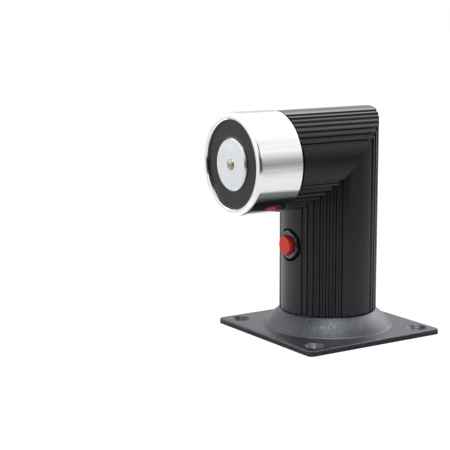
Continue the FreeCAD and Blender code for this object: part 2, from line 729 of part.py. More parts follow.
def make_disc_screws():
    shank = "port_hole - thread_gap"
    head = "(disc_screw_head - thread_gap)"
    points = [
        ("0", "arm_reach - disc_screw_length"), (shank, "arm_reach - disc_screw_length"),
        (shank, "arm_reach - thread_gap - (%s - %s)" % (head, "(%s)" % shank)),
        (head, "arm_reach - thread_gap"), ("0", "arm_reach - thread_gap"),
    ]
    screws = [screw("disc_screw_%d" % n, points, x, y, ARM_AXIS, OUTWARD)
              for n, (x, y) in enumerate(four_corners(PORT_X))]
    return group("disc_screws", screws)


def make_magnet_bolt():
    shank = "bolt_radius - thread_gap"
    body = turned("magnet_bolt", [
        ("0", "%s - thread_gap" % DISC_REAR), (shank, "%s - thread_gap" % DISC_REAR),
        (shank, BOLT_END), ("0", BOLT_END),
    ], ARM_AXIS, OUTWARD)
    head = new_sketch(body, "XY_Plane", "bolt_head", height=DISC_REAR)
    flat = "bolt_head_flats / 2"
    corner = "(bolt_head_flats / 2 / cos(30))"
    outline(head, [
        (corner, "0"), (corner + " / 2", flat), ("-%s / 2" % corner, flat),
        ("-" + corner, "0"), ("-%s / 2" % corner, "-" + flat), (corner + " / 2", "-" + flat),
    ])
    pad(body, head, "bolt_head_height", downwards=True)
    return body


def make_gasket():
    bore = "%s - gasket_width" % GASKET_RIM
    return turned("seal_gasket", [
        (bore, "arm_reach"), (GASKET_RIM, "arm_reach"), (GASKET_RIM, POT_REAR), (bore, POT_REAR),
    ], ARM_AXIS, OUTWARD)


def make_pot():
    hole = "bolt_radius + bolt_clearance"
    body = turned("magnet_pot", [
        (hole, POT_REAR), ("pot_radius - pot_rear_bevel", POT_REAR),
        ("pot_radius", "%s + pot_rear_bevel" % POT_REAR), ("pot_radius", POT_FRONT),
        ("pot_bore + pot_mouth_bevel", POT_FRONT), ("pot_bore", "%s - pot_mouth_bevel" % POT_FRONT),
        ("pot_bore", POT_FLOOR), (hole, POT_FLOOR),
    ], ARM_AXIS, OUTWARD)
    rim = edges_where(body.Shape, lambda e: e.BoundBox.XLength > 2 * value("pot_radius") - NEAR
                      and abs(e.BoundBox.YMin + value(POT_FRONT)) < NEAR)
    round_edges(body, rim, "pot_front_round")
    lead = new_sketch(body, "XY_Plane", "pot_lead_hole")
    circle(lead, "0", LEAD_OFFSET, "lead_hole")
    pocket(body, lead, "%s + inner_gap" % POT_FLOOR, along_normal=True)
    return body


def make_core():
    tapped = "bolt_radius"
    guide = "ejector_radius + ejector_gap"
    return turned("pole_core", [
        (tapped, POT_FLOOR), ("core_radius", POT_FLOOR),
        ("core_radius", "%s - core_bevel" % POT_FRONT), ("core_radius - core_bevel", POT_FRONT),
        (guide, POT_FRONT), (guide, SHOULDER), (CHAMBER, SHOULDER),
        (CHAMBER, "%s + bolt_end_gap" % BOLT_END), (tapped, "%s + bolt_end_gap" % BOLT_END),
    ], ARM_AXIS, OUTWARD)


def make_bobbin():
    tube = "%s + bobbin_wall" % BOBBIN_BORE
    return turned("coil_bobbin", [
        (BOBBIN_BORE, BOBBIN_REAR), (BOBBIN_RIM, BOBBIN_REAR),
        (BOBBIN_RIM, "%s + bobbin_wall" % BOBBIN_REAR), (tube, "%s + bobbin_wall" % BOBBIN_REAR),
        (tube, "%s - bobbin_wall" % BOBBIN_FRONT), (BOBBIN_RIM, "%s - bobbin_wall" % BOBBIN_FRONT),
        (BOBBIN_RIM, BOBBIN_FRONT), (BOBBIN_BORE, BOBBIN_FRONT),
    ], ARM_AXIS, OUTWARD)


def make_winding():
    inner = "%s + bobbin_wall + inner_gap" % BOBBIN_BORE
    outer = "%s - winding_margin" % BOBBIN_RIM
    rear = "%s + bobbin_wall + inner_gap" % BOBBIN_REAR
    front = "%s - bobbin_wall - inner_gap" % BOBBIN_FRONT
    return turned("coil_winding", [(inner, rear), (outer, rear), (outer, front), (inner, front)],
                  ARM_AXIS, OUTWARD)


def make_resin():
    inner = "core_radius + thread_gap"
    outer = "pot_bore - thread_gap"
    return turned("potting_resin", [
        (inner, RESIN_REAR), (outer, RESIN_REAR), (outer, RESIN_FRONT), (inner, RESIN_FRONT),
    ], ARM_AXIS, OUTWARD)


def make_grommet():
    bore = "lead_hole - thread_gap"
    neck = "lead_hole + grommet_wall - thread_gap"
    flange = "lead_hole + 2 * grommet_wall"
    rear = "%s - grommet_flange" % DISC_REAR
    base = ("0", "0", "arm_height + %s" % LEAD_OFFSET)
    return turned("lead_grommet", [
        (bore, rear), (flange, rear), (flange, DISC_REAR), (neck, DISC_REAR), (neck, "arm_reach"),
        (flange, "arm_reach"), (flange, "arm_reach + grommet_flange"),
        (bore, "arm_reach + grommet_flange"),
    ], base, OUTWARD)


def make_ejector_pin():
    tip = "%s + ejector_proud" % POT_FRONT
    dome_radius = "(ejector_radius^2 + ejector_dome^2) / (2 * ejector_dome)"
    return turned("ejector_pin", [
        ("0", "%s - ejector_stem_length" % COLLAR_REAR),
        ("ejector_stem", "%s - ejector_stem_length" % COLLAR_REAR), ("ejector_stem", COLLAR_REAR),
        ("ejector_collar", COLLAR_REAR), ("ejector_collar", COLLAR_FRONT),
        ("ejector_radius", COLLAR_FRONT), ("ejector_radius", "%s - ejector_dome" % tip),
        ("0", tip),
    ], ARM_AXIS, OUTWARD, arcs={6: dome_radius})


def spring(label, radius, wire, start, end, turns, base):
    """A compression spring with its axis along the outward direction. Its round wire has few sides."""
    body = new_body(label, base, OUTWARD)
    section = new_sketch(body, "XZ_Plane", label + "_wire")
    sides = int(value("spring_sides"))
    middle = "%s + %s" % (start, wire)
    angles = [360 * n / sides for n in range(sides)]
    outline(section, [
        ("%s + %s * cos(%g)" % (radius, wire, angle), "%s + %s * sin(%g)" % (middle, wire, angle))
        for angle in angles
    ])
    coil = body.newObject("PartDesign::AdditiveHelix", label + "_coil")
    coil.Profile = section
    coil.ReferenceAxis = (section, ["V_Axis"])
    coil.Mode = "height-turns-angle"
    bind(coil, "Height", "(%s) - (%s) - 2 * (%s)" % (end, start, wire))
    bind(coil, "Turns", turns)
    body.Tip = coil
    doc.recompute()
    return body


def make_ejector_spring():
    radius = "(ejector_collar - ejector_wire - thread_gap)"
    start = "(%s + thread_gap)" % BOLT_END
    end = "(%s - thread_gap)" % COLLAR_REAR
    return spring("ejector_spring", radius, "ejector_wire", start, end, "ejector_turns", ARM_AXIS)


# release button and its switch: local +Z runs outward from the post axis
def make_bracket():
    body = new_body("inner_bracket", ("0", "0", "base_height"), UP)
    foot = new_sketch(body, "XY_Plane", "bracket_foot")
    deep = "foot_depth / 2"
    half = "bracket_width / 2"
    outline(foot, [
        ("-" + half, "-" + BRACKET_FRONT), (half, "-" + BRACKET_FRONT), (half, "-" + deep),
        (FOOT_HALF, "-" + deep), (FOOT_HALF, deep), ("-" + FOOT_HALF, deep),
        ("-" + FOOT_HALF, "-" + deep), ("-" + half, "-" + deep),
    ])
    pad(body, foot, "bracket_thick")
    upright = new_sketch(body, "XZ_Plane", "bracket_upright", height=BRACKET_FRONT)
    axis = "(%s - base_height)" % BUTTON_HEIGHT
    top = "%s + bracket_width / 2" % axis
    bevel = "bracket_width / 4"
    outline(upright, [
        ("-" + half, "0"), (half, "0"), (half, "%s - %s" % (top, bevel)),
        ("%s - %s" % (half, bevel), top), ("-(%s - %s)" % (half, bevel), top),
        ("-" + half, "%s - %s" % (top, bevel)),
    ])
    pad(body, upright, "bracket_thick", downwards=True)
    hole = new_sketch(body, "XZ_Plane", "bracket_switch_hole")
    circle(hole, "0", axis, "barrel_radius + thread_gap")
    pocket(body, hole, "%s + overcut" % BRACKET_FRONT, along_normal=True)
    screws = new_sketch(body, "XY_Plane", "bracket_screw_holes")
    circle(screws, FOOT_SCREW_X, "0", "foot_screw + thread_gap")
    ring_pattern(body, pocket(body, screws, "bracket_thick", along_normal=True), screws, "2")
    fixing = new_sketch(body, "XY_Plane", "bracket_block_hole")
    circle(fixing, "0", "0", "foot_screw")
    pocket(body, fixing, "bracket_thick", along_normal=True)
    return body


def screw_points(start, length):
    """A pan-head screw: the head ends where the shank starts, and the shank runs on."""
    shank = "foot_screw - thread_gap"
    head = "%s - foot_screw_head_height" % start
    return [
        ("0", head), ("foot_screw_head", head), ("foot_screw_head", start), (shank, start),
        (shank, "%s + %s" % (start, length)), ("0", "%s + %s" % (start, length)),
    ]


def make_bracket_screws():
    foot = ("0", "0", FOOT_TOP)
    side = [screw("bracket_screw_%d" % n, screw_points("0", "foot_screw_length"),
                  sign + FOOT_SCREW_X, "0", foot, DOWN)
            for n, sign in enumerate(("", "-"))]
    sunk = "%s + foot_screw_head_height + clamp_screw / 2" % BLOCK_BOTTOM
    block_screw = turned("block_screw", screw_points(sunk, "%s - (%s)" % (FOOT_TOP, sunk)),
                         FLOOR_ORIGIN, UP)
    return group("bracket_screws", side + [block_screw])


def make_barrel():
    bore = "plunger_radius + ejector_gap"
    well = "cap_radius + cap_gap"
    return turned("switch_barrel", [
        (bore, FLANGE_REAR), ("barrel_flange", FLANGE_REAR), ("barrel_flange", BRACKET_REAR),
        ("barrel_radius", BRACKET_REAR), ("barrel_radius", BARREL_FRONT),
        (well, BARREL_FRONT), (well, WELL_FLOOR), (bore, WELL_FLOOR),
    ], BUTTON_AXIS, OUTWARD)


def make_washer():
    return turned("switch_washer", [
        ("barrel_radius + thread_gap", BRACKET_FRONT), ("nut_radius", BRACKET_FRONT),
        ("nut_radius", NUT_REAR), ("barrel_radius + thread_gap", NUT_REAR),
    ], BUTTON_AXIS, OUTWARD)


def fluted(body, radius, flute, count, name, reach=None):
    """Round flutes down the side of a turned piece, as far out as reach if it is given."""
    sketch = new_sketch(body, "XY_Plane", name)
    circle(sketch, radius, "0", flute)
    ring_pattern(body, pocket(body, sketch, reach, along_normal=True), sketch, count)


def make_nut():
    bore = "barrel_radius + thread_gap"
    body = turned("switch_nut", [
        (bore, NUT_REAR), ("nut_radius", NUT_REAR), ("nut_radius", "%s - nut_bevel" % NUT_FRONT),
        ("nut_radius - nut_bevel", NUT_FRONT), (bore, NUT_FRONT),
    ], BUTTON_AXIS, OUTWARD)
    fluted(body, "nut_radius", "nut_flute", "nut_flute_count", "nut_flutes")
    return body


def make_case():
    body = new_body("switch_case", BUTTON_AXIS, OUTWARD)
    section = new_sketch(body, "XZ_Plane", "case_section")
    outline(section, [
        ("0", CASE_REAR), ("case_radius", CASE_REAR), ("case_radius", FLANGE_REAR),
        ("case_radius - case_wall", FLANGE_REAR), ("case_radius - case_wall", CASE_FLOOR),
        ("0", CASE_FLOOR),
    ])
    spin(body, section)
    slots = new_sketch(body, "XY_Plane", "case_slots", height=CASE_FLOOR)
    tall = "(tag_width / 2 + thread_gap)"
    near = "(tag_offset - thread_gap)"
    far = "(tag_offset + tag_thick + thread_gap)"
    box_outline(slots, near, far, "-" + tall, tall)
    box_outline(slots, "-" + far, "-" + near, "-" + tall, tall)
    pocket(body, slots, "case_wall + overcut")
    return body


def make_contacts():
    tags = []
    for name, side in (("left", -1), ("right", 1)):
        y_rear = "-(%s - tag_tail)" % CASE_REAR
        y_front = "-(%s + tag_thick)" % LIP_REAR
        y_lip = "-(%s)" % LIP_REAR
        low_z = "%s - tag_width / 2" % BUTTON_HEIGHT
        high_z = "%s + tag_width / 2" % BUTTON_HEIGHT
        near = "tag_offset"
        far = "tag_offset + tag_thick"
        lip = "plunger_collar + stop_gap"
        if side < 0:
            strip = block("tag_strip_" + name, ("-(%s)" % far, y_front, low_z),
                          ("-(%s)" % near, y_rear, high_z))
            pad_end = block("tag_lip_" + name, ("-(%s)" % far, y_front, low_z),
                            ("-(%s)" % lip, y_lip, high_z))
        else:
            strip = block("tag_strip_" + name, (near, y_front, low_z), (far, y_rear, high_z))
            pad_end = block("tag_lip_" + name, (lip, y_front, low_z), (far, y_lip, high_z))
        tags.append(fuse("contact_" + name, [strip, pad_end]))
    return group("switch_contacts", tags)


def make_cap():
    pin = "plunger_radius + thread_gap"
    socket = "%s + cap_socket" % CAP_REAR
    body = turned("button_cap", [
        (pin, CAP_REAR), ("cap_radius", CAP_REAR), ("cap_radius", "%s - cap_round" % CAP_FRONT),
        ("cap_radius - cap_round", CAP_FRONT), ("0", CAP_FRONT), ("0", socket), (pin, socket),
    ], BUTTON_AXIS, OUTWARD, arcs={2: "cap_round"})
    rim = "%s - cap_rim" % CAP_FRONT
    fluted(body, "cap_radius", "cap_flute", "cap_flute_count", "cap_flutes", reach=rim)
    return body


def make_plunger():
    nose = "%s + cap_socket - thread_gap" % CAP_REAR
    tail = "%s - plunger_tail_length" % BRIDGE_REAR
    return turned("switch_plunger", [
        ("0", tail), ("plunger_tail", tail), ("plunger_tail", BRIDGE_FRONT),
        ("plunger_collar", BRIDGE_FRONT), ("plunger_collar", PLUNGER_COLLAR_FRONT),
        ("plunger_radius", PLUNGER_COLLAR_FRONT), ("plunger_radius", nose), ("0", nose),
    ], BUTTON_AXIS, OUTWARD)


def make_bridge():
    hole = "plunger_tail + thread_gap"
    return turned("contact_bridge", [
        (hole, BRIDGE_REAR), ("bridge_radius", BRIDGE_REAR),
        ("bridge_radius", BRIDGE_FRONT), (hole, BRIDGE_FRONT),
    ], BUTTON_AXIS, OUTWARD)


def make_button_spring():
    start = "(%s + thread_gap)" % CASE_FLOOR
    end = "(%s - thread_gap)" % BRIDGE_REAR
    return spring("button_spring", "spring_radius", "spring_wire", start, end, "spring_turns",
                  BUTTON_AXIS)


# terminal block under the bracket's foot, reached from the base's underside
WAYS = ("-way_pitch / 2", "way_pitch / 2")


def make_terminal_block():
    half_x = "block_length / 2"
    half_y = "block_depth / 2"
    body = block("block_body", ("-" + half_x, "-" + half_y, BLOCK_BOTTOM), (half_x, half_y, BLOCK_TOP))
    tools = []
    for n, x in enumerate(WAYS):
        tools.append(cylinder("block_way_%d" % n, "clamp_radius + thread_gap",
                              "-(block_depth / 2 + overcut)", "block_depth + 2 * overcut",
                              ("0", "0", WAY_HEIGHT), OUTWARD, x=x))
        for m, y in enumerate(("-clamp_screw_offset", "clamp_screw_offset")):
            tools.append(cylinder("block_screw_hole_%d_%d" % (n, m), "clamp_screw + 2 * thread_gap",
                                  "%s - overcut" % BLOCK_BOTTOM,
                                  "%s - %s + overcut" % (WAY_HEIGHT, BLOCK_BOTTOM),
                                  FLOOR_ORIGIN, UP, x=x, y=y))
    tools.append(cylinder("block_fixing", "foot_screw + thread_gap", "%s - overcut" % BLOCK_BOTTOM,
                          "block_height + 2 * overcut", FLOOR_ORIGIN, UP))
    tools.append(cylinder("block_fixing_head", "foot_screw_head + thread_gap",
                          "%s - overcut" % BLOCK_BOTTOM,
                          "overcut + foot_screw_head_height + clamp_screw / 2", FLOOR_ORIGIN, UP))
    return cut("terminal_block", body, tools)


def make_clamps():
    clamps = []
    for n, x in enumerate(WAYS):
        axis = ("0", "0", WAY_HEIGHT)
        tube = cylinder("clamp_tube_%d" % n, "clamp_radius", "-clamp_length / 2", "clamp_length",
                        axis, OUTWARD, x=x)
        tools = [cylinder("clamp_bore_%d" % n, "clamp_bore", "-(clamp_length / 2 + overcut)",
                          "clamp_length + 2 * overcut", axis, OUTWARD, x=x)]
        for m, y in enumerate(("-clamp_screw_offset", "clamp_screw_offset")):
            tools.append(cylinder("clamp_tapping_%d_%d" % (n, m), "clamp_screw + thread_gap",
                                  "-(clamp_radius + overcut)", "clamp_radius + overcut", axis, UP,
                                  x=x, y=y))
        clamps.append(cut("clamp_%d" % n, tube, tools))
    return group("terminal_clamps", clamps)


def make_clamp_screws():
    screws = []
    bottom = "%s + clamp_screw / 2" % BLOCK_BOTTOM
    tip = "%s - clamp_bore - thread_gap" % WAY_HEIGHT
    for n, x in enumerate(WAYS):
        for m, y in enumerate(("-clamp_screw_offset", "clamp_screw_offset")):
            screws.append(cylinder("clamp_screw_%d_%d" % (n, m), "clamp_screw", bottom,
                                   "%s - (%s)" % (tip, bottom), FLOOR_ORIGIN, UP, x=x, y=y))
    return group("terminal_screws", screws)


def wire_solid(points, radius, bends):
    """A wire along straight runs joined by tangent arcs, one bend radius for each corner.

    A bend is tighter where its runs are short. The round section is drawn with few sides."""
    edges = []
    start = points[0]
    tightest = max(bends)
    for index in range(1, len(points) - 1):
        before = points[index] - points[index - 1]
        after = points[index + 1] - points[index]
        room = BEND_SHARE * min(before.Length, after.Length)
        half_turn = before.getAngle(after) / 2
        bend = min(bends[index - 1], room / math.tan(half_turn))
        tightest = min(tightest, bend)
        back = bend * math.tan(half_turn)
        before.normalize()
        after.normalize()
        entry = points[index] - before * back
        leave = points[index] + after * back
        inward = (after - before).normalize()
        apex_distance = (bend ** 2 + back ** 2) ** 0.5 - bend
        apex = points[index] + inward * apex_distance
        edges.append(Part.LineSegment(start, entry).toShape())
        edges.append(Part.Arc(entry, apex, leave).toShape())
        start = leave
    edges.append(Part.LineSegment(start, points[-1]).toShape())
    path = Part.Wire(edges)
    first = (points[1] - points[0]).normalize()
    sides = int(value("lead_sides"))
    ring = Part.makePolygon(list(Part.makeCircle(radius, points[0], first).discretize(sides + 1)))
    solid = path.makePipeShell([ring], True, False)
    section = sides / 2 * radius ** 2 * math.sin(2 * math.pi / sides)
    expected = section * path.Length
    if abs(solid.Volume - expected) > 0.01 * expected:
        raise RuntimeError("a wire's volume is off: %.2f for %.2f" % (solid.Volume, expected))
    print("wire: length %.1f, tightest bend %.1f" % (path.Length, tightest))
    return solid


def wire_node(label, wires):
    thing = doc.addObject("Part::Feature", label)
    thing.Label = label
    solids = [wire_solid([FreeCAD.Vector(*p) for p in points], radius, bends)
              for points, radius, bends in wires]
    thing.Shape = solids[0] if len(solids) == 1 else Part.makeCompound(solids)
    return thing


def make_leads():
    radius = value("lead_radius")
    bend = value("lead_bend")
    corner = value("corner_bend")
    half_pair = radius + value("inner_gap")
    high = value("arm_height + %s" % LEAD_OFFSET)
    back = value(LEAD_OFFSET)
    coil = -value("%s - thread_gap" % BOBBIN_REAR)
    drop = value(LEAD_DROP)
    way = value("way_pitch / 2")
    way_z = value("%s + clamp_bore - lead_radius - thread_gap * 2" % WAY_HEIGHT)
    way_end = value("clamp_screw_offset / 2")
    tag_x = value("tag_offset + tag_thick / 2")
    tag_y = -value("%s - tag_tail - thread_gap" % CASE_REAR)
    tag_z = value(BUTTON_HEIGHT)
    over_switch = tag_z + value("bracket_width")
    to_block = tag_z - value("bracket_width / 2")
    above_foot = value(FOOT_TOP) + value("bracket_width / 2")
    to_switch = [
        (half_pair, coil, high), (half_pair, back, high), (half_pair, back, over_switch),
        (tag_x, (back + drop) / 2, tag_z), (tag_x, tag_y, tag_z),
    ]
    to_way = [
        (-half_pair, coil, high), (-half_pair, back, high), (-half_pair, back, to_block),
        (way, drop, above_foot), (way, drop, way_z), (way, way_end, way_z),
    ]
    from_switch = [
        (-tag_x, tag_y, tag_z), (-tag_x, drop, tag_z), (-way, drop + radius, to_block - bend),
        (-way, drop, way_z), (-way, way_end, way_z),
    ]
    magnet = wire_node("magnet_leads", [
        (to_switch, radius, (corner, corner, bend + 1)),
        (to_way, radius, (corner, corner, corner, bend)),
    ])
    switch = wire_node("switch_lead", [(from_switch, radius, (bend + 1, corner, bend))])
    return [magnet, switch]


def make_diode():
    wire = value("diode_wire")
    way = value("way_pitch / 2")
    depth = value("block_depth / 2 + diode_radius + cap_gap")
    low = value("%s - clamp_bore + diode_wire + thread_gap" % WAY_HEIGHT)
    end = value("clamp_screw_offset / 2")
    half = value("diode_length / 2")
    legs = [
        [FreeCAD.Vector(side * way, end, low), FreeCAD.Vector(side * way, depth, low),
         FreeCAD.Vector(side * half, depth, low)]
        for side in (-1, 1)
    ]
    body = Part.makeCylinder(value("diode_radius"), 2 * half, FreeCAD.Vector(-half, depth, low),
                             FreeCAD.Vector(1, 0, 0))
    solids = [body] + [wire_solid(leg, wire, (3 * wire,)) for leg in legs]
    joined = solids[0].fuse(solids[1:])
    thing = doc.addObject("Part::Feature", "suppressor_diode")
    thing.Label = "suppressor_diode"
    thing.Shape = joined
    return thing


pieces = [
    make_base(),
    make_base_screws(),
    make_post(),
    make_arm(),
    make_cleat(),
    make_mounting_disc(),
    make_disc_screws(),
    make_magnet_bolt(),
    make_grommet(),
    make_gasket(),
    make_pot(),
    make_core(),
    make_bobbin(),
    make_winding(),
    make_resin(),
    make_ejector_pin(),
    make_ejector_spring(),
    make_bracket(),
    make_bracket_screws(),
    make_barrel(),
    make_case(),
    make_washer(),
    make_nut(),
    make_contacts(),
    make_cap(),
    make_plunger(),
    make_bridge(),
    make_button_spring(),
    make_terminal_block(),
    make_clamps(),
    make_clamp_screws(),
    make_diode(),
] + make_leads()

doc.recompute()

for item in doc.Objects:
    if "Invalid" in item.State or "Error" in item.State:
        raise RuntimeError("%s failed: %s" % (item.Label, item.State))
for piece in pieces:
    shape = piece.Shape
    if shape.isNull() or not shape.isValid() or not shape.Solids:
        raise RuntimeError("%s has no valid solid" % piece.Label)
for piece in pieces:
    piece.Shape.exportStep("parts/%s.step" % piece.Label)
print("%d pieces, %d solids" % (len(pieces), sum(len(piece.Shape.Solids) for piece in pieces)))
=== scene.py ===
"""Looks, studio and camera for an electromagnetic door holder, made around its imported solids.

The file is laid out as an add-on and is run as a script. Lengths are in metres, in the part's own
frame: +Z up, the magnet faces -Y, and the base stands on the floor at z = 0.
"""

import json
import math
from collections import namedtuple

import bmesh
import bpy
from bpy.props import FloatProperty, FloatVectorProperty, IntProperty, PointerProperty
from mathutils import Matrix, Vector, noise


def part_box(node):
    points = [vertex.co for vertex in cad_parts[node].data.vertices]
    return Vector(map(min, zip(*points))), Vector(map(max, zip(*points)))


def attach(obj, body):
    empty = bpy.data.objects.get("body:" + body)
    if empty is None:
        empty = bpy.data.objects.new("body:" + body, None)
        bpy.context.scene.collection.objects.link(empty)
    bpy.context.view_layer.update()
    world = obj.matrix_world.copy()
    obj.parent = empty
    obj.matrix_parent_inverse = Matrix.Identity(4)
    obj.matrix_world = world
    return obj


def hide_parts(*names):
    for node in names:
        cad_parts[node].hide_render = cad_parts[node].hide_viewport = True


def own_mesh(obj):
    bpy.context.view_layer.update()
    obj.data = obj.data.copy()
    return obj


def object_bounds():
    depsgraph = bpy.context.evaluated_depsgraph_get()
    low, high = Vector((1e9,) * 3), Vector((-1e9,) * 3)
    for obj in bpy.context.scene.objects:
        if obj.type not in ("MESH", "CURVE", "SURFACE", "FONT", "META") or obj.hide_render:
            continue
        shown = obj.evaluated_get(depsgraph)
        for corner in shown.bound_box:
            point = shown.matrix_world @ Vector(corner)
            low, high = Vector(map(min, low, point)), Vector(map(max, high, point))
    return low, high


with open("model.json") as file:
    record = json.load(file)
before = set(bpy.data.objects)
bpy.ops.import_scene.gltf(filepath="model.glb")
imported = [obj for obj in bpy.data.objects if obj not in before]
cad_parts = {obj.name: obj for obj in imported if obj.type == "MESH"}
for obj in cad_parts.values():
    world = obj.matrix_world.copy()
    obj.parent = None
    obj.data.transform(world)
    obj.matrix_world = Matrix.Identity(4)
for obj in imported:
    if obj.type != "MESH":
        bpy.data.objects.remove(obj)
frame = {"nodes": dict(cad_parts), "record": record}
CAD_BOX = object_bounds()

bl_info = {
    "name": "Door holder finishes",
    "version": (1, 0, 0),
    "blender": (4, 5, 0),
    "location": "3D View > Sidebar > Door holder",
    "description": "Finishes, small pieces and studio for an electromagnetic door holder",
    "category": "Object",
}

HOLDER = "holder"
EJECTOR = "ejector"

ARM_AXIS = sum(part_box("magnet_pot"), Vector()) / 2
MITRE_NORMAL = Vector((0, -1, 1)).normalized()
MITRE_POINT = Vector((0, 0, ARM_AXIS.z))

# points nearer than this are one, in a copied solid and in a finished piece
WELD = 1e-6
SAME_POINT = 1e-7

# how deep the grooved skin of the profile goes, with a little to spare
SKIN_DEPTH = 0.0014
# a face of the profile belongs to the mitre's cut when its normal lies this near the cut's
CUT_FACING = 0.9

# drive recesses as seen along a screw, in shares of their reach, and how far their walls lean in
CROSS = [(1, -0.25), (1, 0.25), (0.25, 0.25), (0.25, 1), (-0.25, 1), (-0.25, 0.25)]
CROSS += [(-across, -up) for across, up in CROSS]
SLOT = [(1, -0.17), (1, 0.17), (-1, 0.17), (-1, -0.17)]
RECESS_TAPER = 0.7

# the round on a screw's head
SCREW_STEPS = 40
HEAD_STEPS = 4
HEAD_ROUND = 0.0005
HEAD_ROUND_SHARE = 0.3
# a radius over this share of the largest belongs to the head or collar
HEAD_RIM = 0.85
COLLAR_RIM = 0.95
ON_AXIS = 1e-4
# the thread and the tip, in shares of the shank's radius, and one turn of the thread, in shares
# of its pitch
THREAD_PITCH = 0.42
THREAD_ROOT = 0.86
THREAD_LEAD, THREAD_VALLEY, THREAD_CREST = 0.2, 0.4, 0.75
PLAIN_END = 0.5
TIP_HEIGHT, TIP_RADIUS = 0.35, 0.6

# the pin's rounded end
DOME_STEPS = 12
DOME_RIM = 0.98
STEP_MARGIN = 1e-5

# the resin's climb at each pole, and its flat face between them
CLIMB_WIDTH = 0.0022
CLIMB_STEPS = 8
CLIMB_POWER = 3
FLAT_RINGS = 5
# waves on the set face: how many in a metre, and how strong
RESIN_WAVES = ((160, 1.0), (520, 0.4))
FACE_MARGIN = 1e-4

# a noise swings about this value
NOISE_MIDDLE = 0.5
# the colour sockets of a Mix node
MIX_FIRST, MIX_SECOND, MIX_RESULT = 6, 7, 2

# A part of the studio that a gloss shows: its direction, and the cosines of the angles from it
# at which it begins and is full.
StudioPart = namedtuple("StudioPart", "direction begins full")
FAR_SIDE = StudioPart((0.84, 0.54, 0.0), 0.25, 0.92)
BEHIND = StudioPart((-0.83, 0.53, 0.1), 0.93, 0.985)
WINDOW = StudioPart((-0.15, 0.86, 0.48), 0.91, 0.98)
STRIP = StudioPart((-0.526, 0.529, 0.666), 0.955, 0.99)
OVERHEAD = StudioPart((0.05, 0.53, 0.85), 0.9, 0.975)

# levels of the studio: all round, low on the far side, and straight behind
ROOM_LEVEL = 1.05
FAR_LEVEL = 0.33
BEHIND_LEVEL = 0.72
# heights between which the far side rises to the room's level, where 1 is straight up
FAR_RISE = (-0.02, 0.44)
ROOM_TINT = (0.99, 0.995, 1.005)

# the unlit corner behind the camera, with one narrow part that stands taller and a ragged edge
DARK_SIDE = (0.843, -0.537, 0)
DARK_EDGE = (0.62, 0.76)
DARK_TOP = (0.32, 0.24)
TALL_EDGE = (0.95, 0.975)
TALL_TOP = (0.74, 0.66)
RAGGED_SCALE = 7.0
RAGGED_DEPTH = 0.14
UNLIT = (0.085, 0.105, 0.095)

# the floor's level in a gloss, by the slope at which the far side sees it
SLOPE_UNIT = 0.1
SLOPES = (-0.06, 0.48)
SLOPE_LEVELS = (0.36, 0.88)
# a painted pool of light on it, a painted shadow at the base, and where the painted unlit corner begins
POOL_PLACE = (-0.2, -0.13, 0)
POOL_EDGE = (0.24, 0.08)
POOL_LEVEL = 1.5
SHADOW_EDGE = (0.06, 0.08)
SHADOW_LEVEL = 0.2
PAINTED_UNLIT_FLOOR = (0.44, 0.56)
# how white the floor is to the camera, where the rest keeps the shadow
FLOOR_WHITE = 1.14
FLOOR_WHITE_SHARE = 0.86
FLOOR_DROP = 0.0002

# the camera's place, and its turn, dip and tilt in degrees
CAMERA_PLACE = (0.580822, -0.4423485, 0.187198)
CAMERA_TURN, CAMERA_DIP, CAMERA_TILT = 57.5234, 10.0272, -0.1801
CAMERA_SHIFT = (0.01113, 0.00613)
SENSOR_WIDTH = 36

# the softboxes' places from the middle of the object, and their sizes
KEY_PLACE, KEY_SIZE = (0.20, -0.14, 0.95), 0.5
SIDE_PLACE, SIDE_SIZE = (-0.75, -0.75, 0.45), 0.9


def colour(name, about, value):
    """A colour that a user may change, in linear light."""
    return FloatVectorProperty(
        name=name, description=about, default=value, size=3, min=0, max=1, subtype="COLOR"
    )


def length(name, about, value):
    """A length that a user may change."""
    return FloatProperty(
        name=name, description=about, default=value, min=0, precision=5, subtype="DISTANCE", unit="LENGTH"
    )


def brightness(name, about, value):
    """A level of light that a user may change, where 1 is white."""
    return FloatProperty(name=name, description=about, default=value, min=0)


def power(name, about, value):
    """The power of a light that a user may change."""
    return FloatProperty(name=name, description=about, default=value, min=0, unit="POWER")


class HolderColours(bpy.types.PropertyGroup):
    """Colours of the finishes that show."""

    housing: colour("Housing", "Satin black of the ribbed profile", (0.0036, 0.0037, 0.0043))
    base: colour("Base", "Dark grey powder coat of the base", (0.006, 0.0063, 0.009))
    fleck: colour("Fleck", "Pale fleck in the powder coat", (0.15, 0.156, 0.19))
    chrome: colour("Chrome", "Plated outer pole", (0.93, 0.94, 0.95))
    wear_and_edge_highlight: colour("Polish lines", "Plating where polishing lines dull it", (0.70, 0.71, 0.725))
    pole: colour("Pole", "Turned inner pole", (0.74, 0.765, 0.785))
    resin: colour("Resin", "Potting resin between the poles", (0.003, 0.0028, 0.0029))
    cap: colour("Cap", "Moulded red of the release button", (0.56, 0.017, 0.013))
    brass: colour("Brass", "Turned brass of the ejector pin", (0.33, 0.295, 0.22))


class HolderDetails(bpy.types.PropertyGroup):
    """Sizes of the fine detail."""

    edge: length("Edge", "Soft round on small sharp edges", 0.00018)
    rib_edge: length("Rib edge", "Soft round on the edges of the ribs", 0.0006)
    seam: length("Seam", "Width of the line where post and arm meet", 0.00016)
    seam_proud: length("Seam proud", "How far the filler stands out of that line", 0.00003)
    powder: length("Powder", "Size of one grain of the powder coat", 0.00048)
    satin: length("Satin", "Size of the housing's fine grain", 0.00022)
    rings: length("Rings", "Pitch of the tool marks on turned faces", 0.00028)
    meniscus: length("Meniscus", "How far the resin climbs at the poles", 0.00022)
    resin_sag: length("Resin sag", "Unevenness of the set resin", 0.00005)
    turns: IntProperty(
        name="Steps", description="Segments in a full turn of a round piece", default=128, min=24, max=256
    )


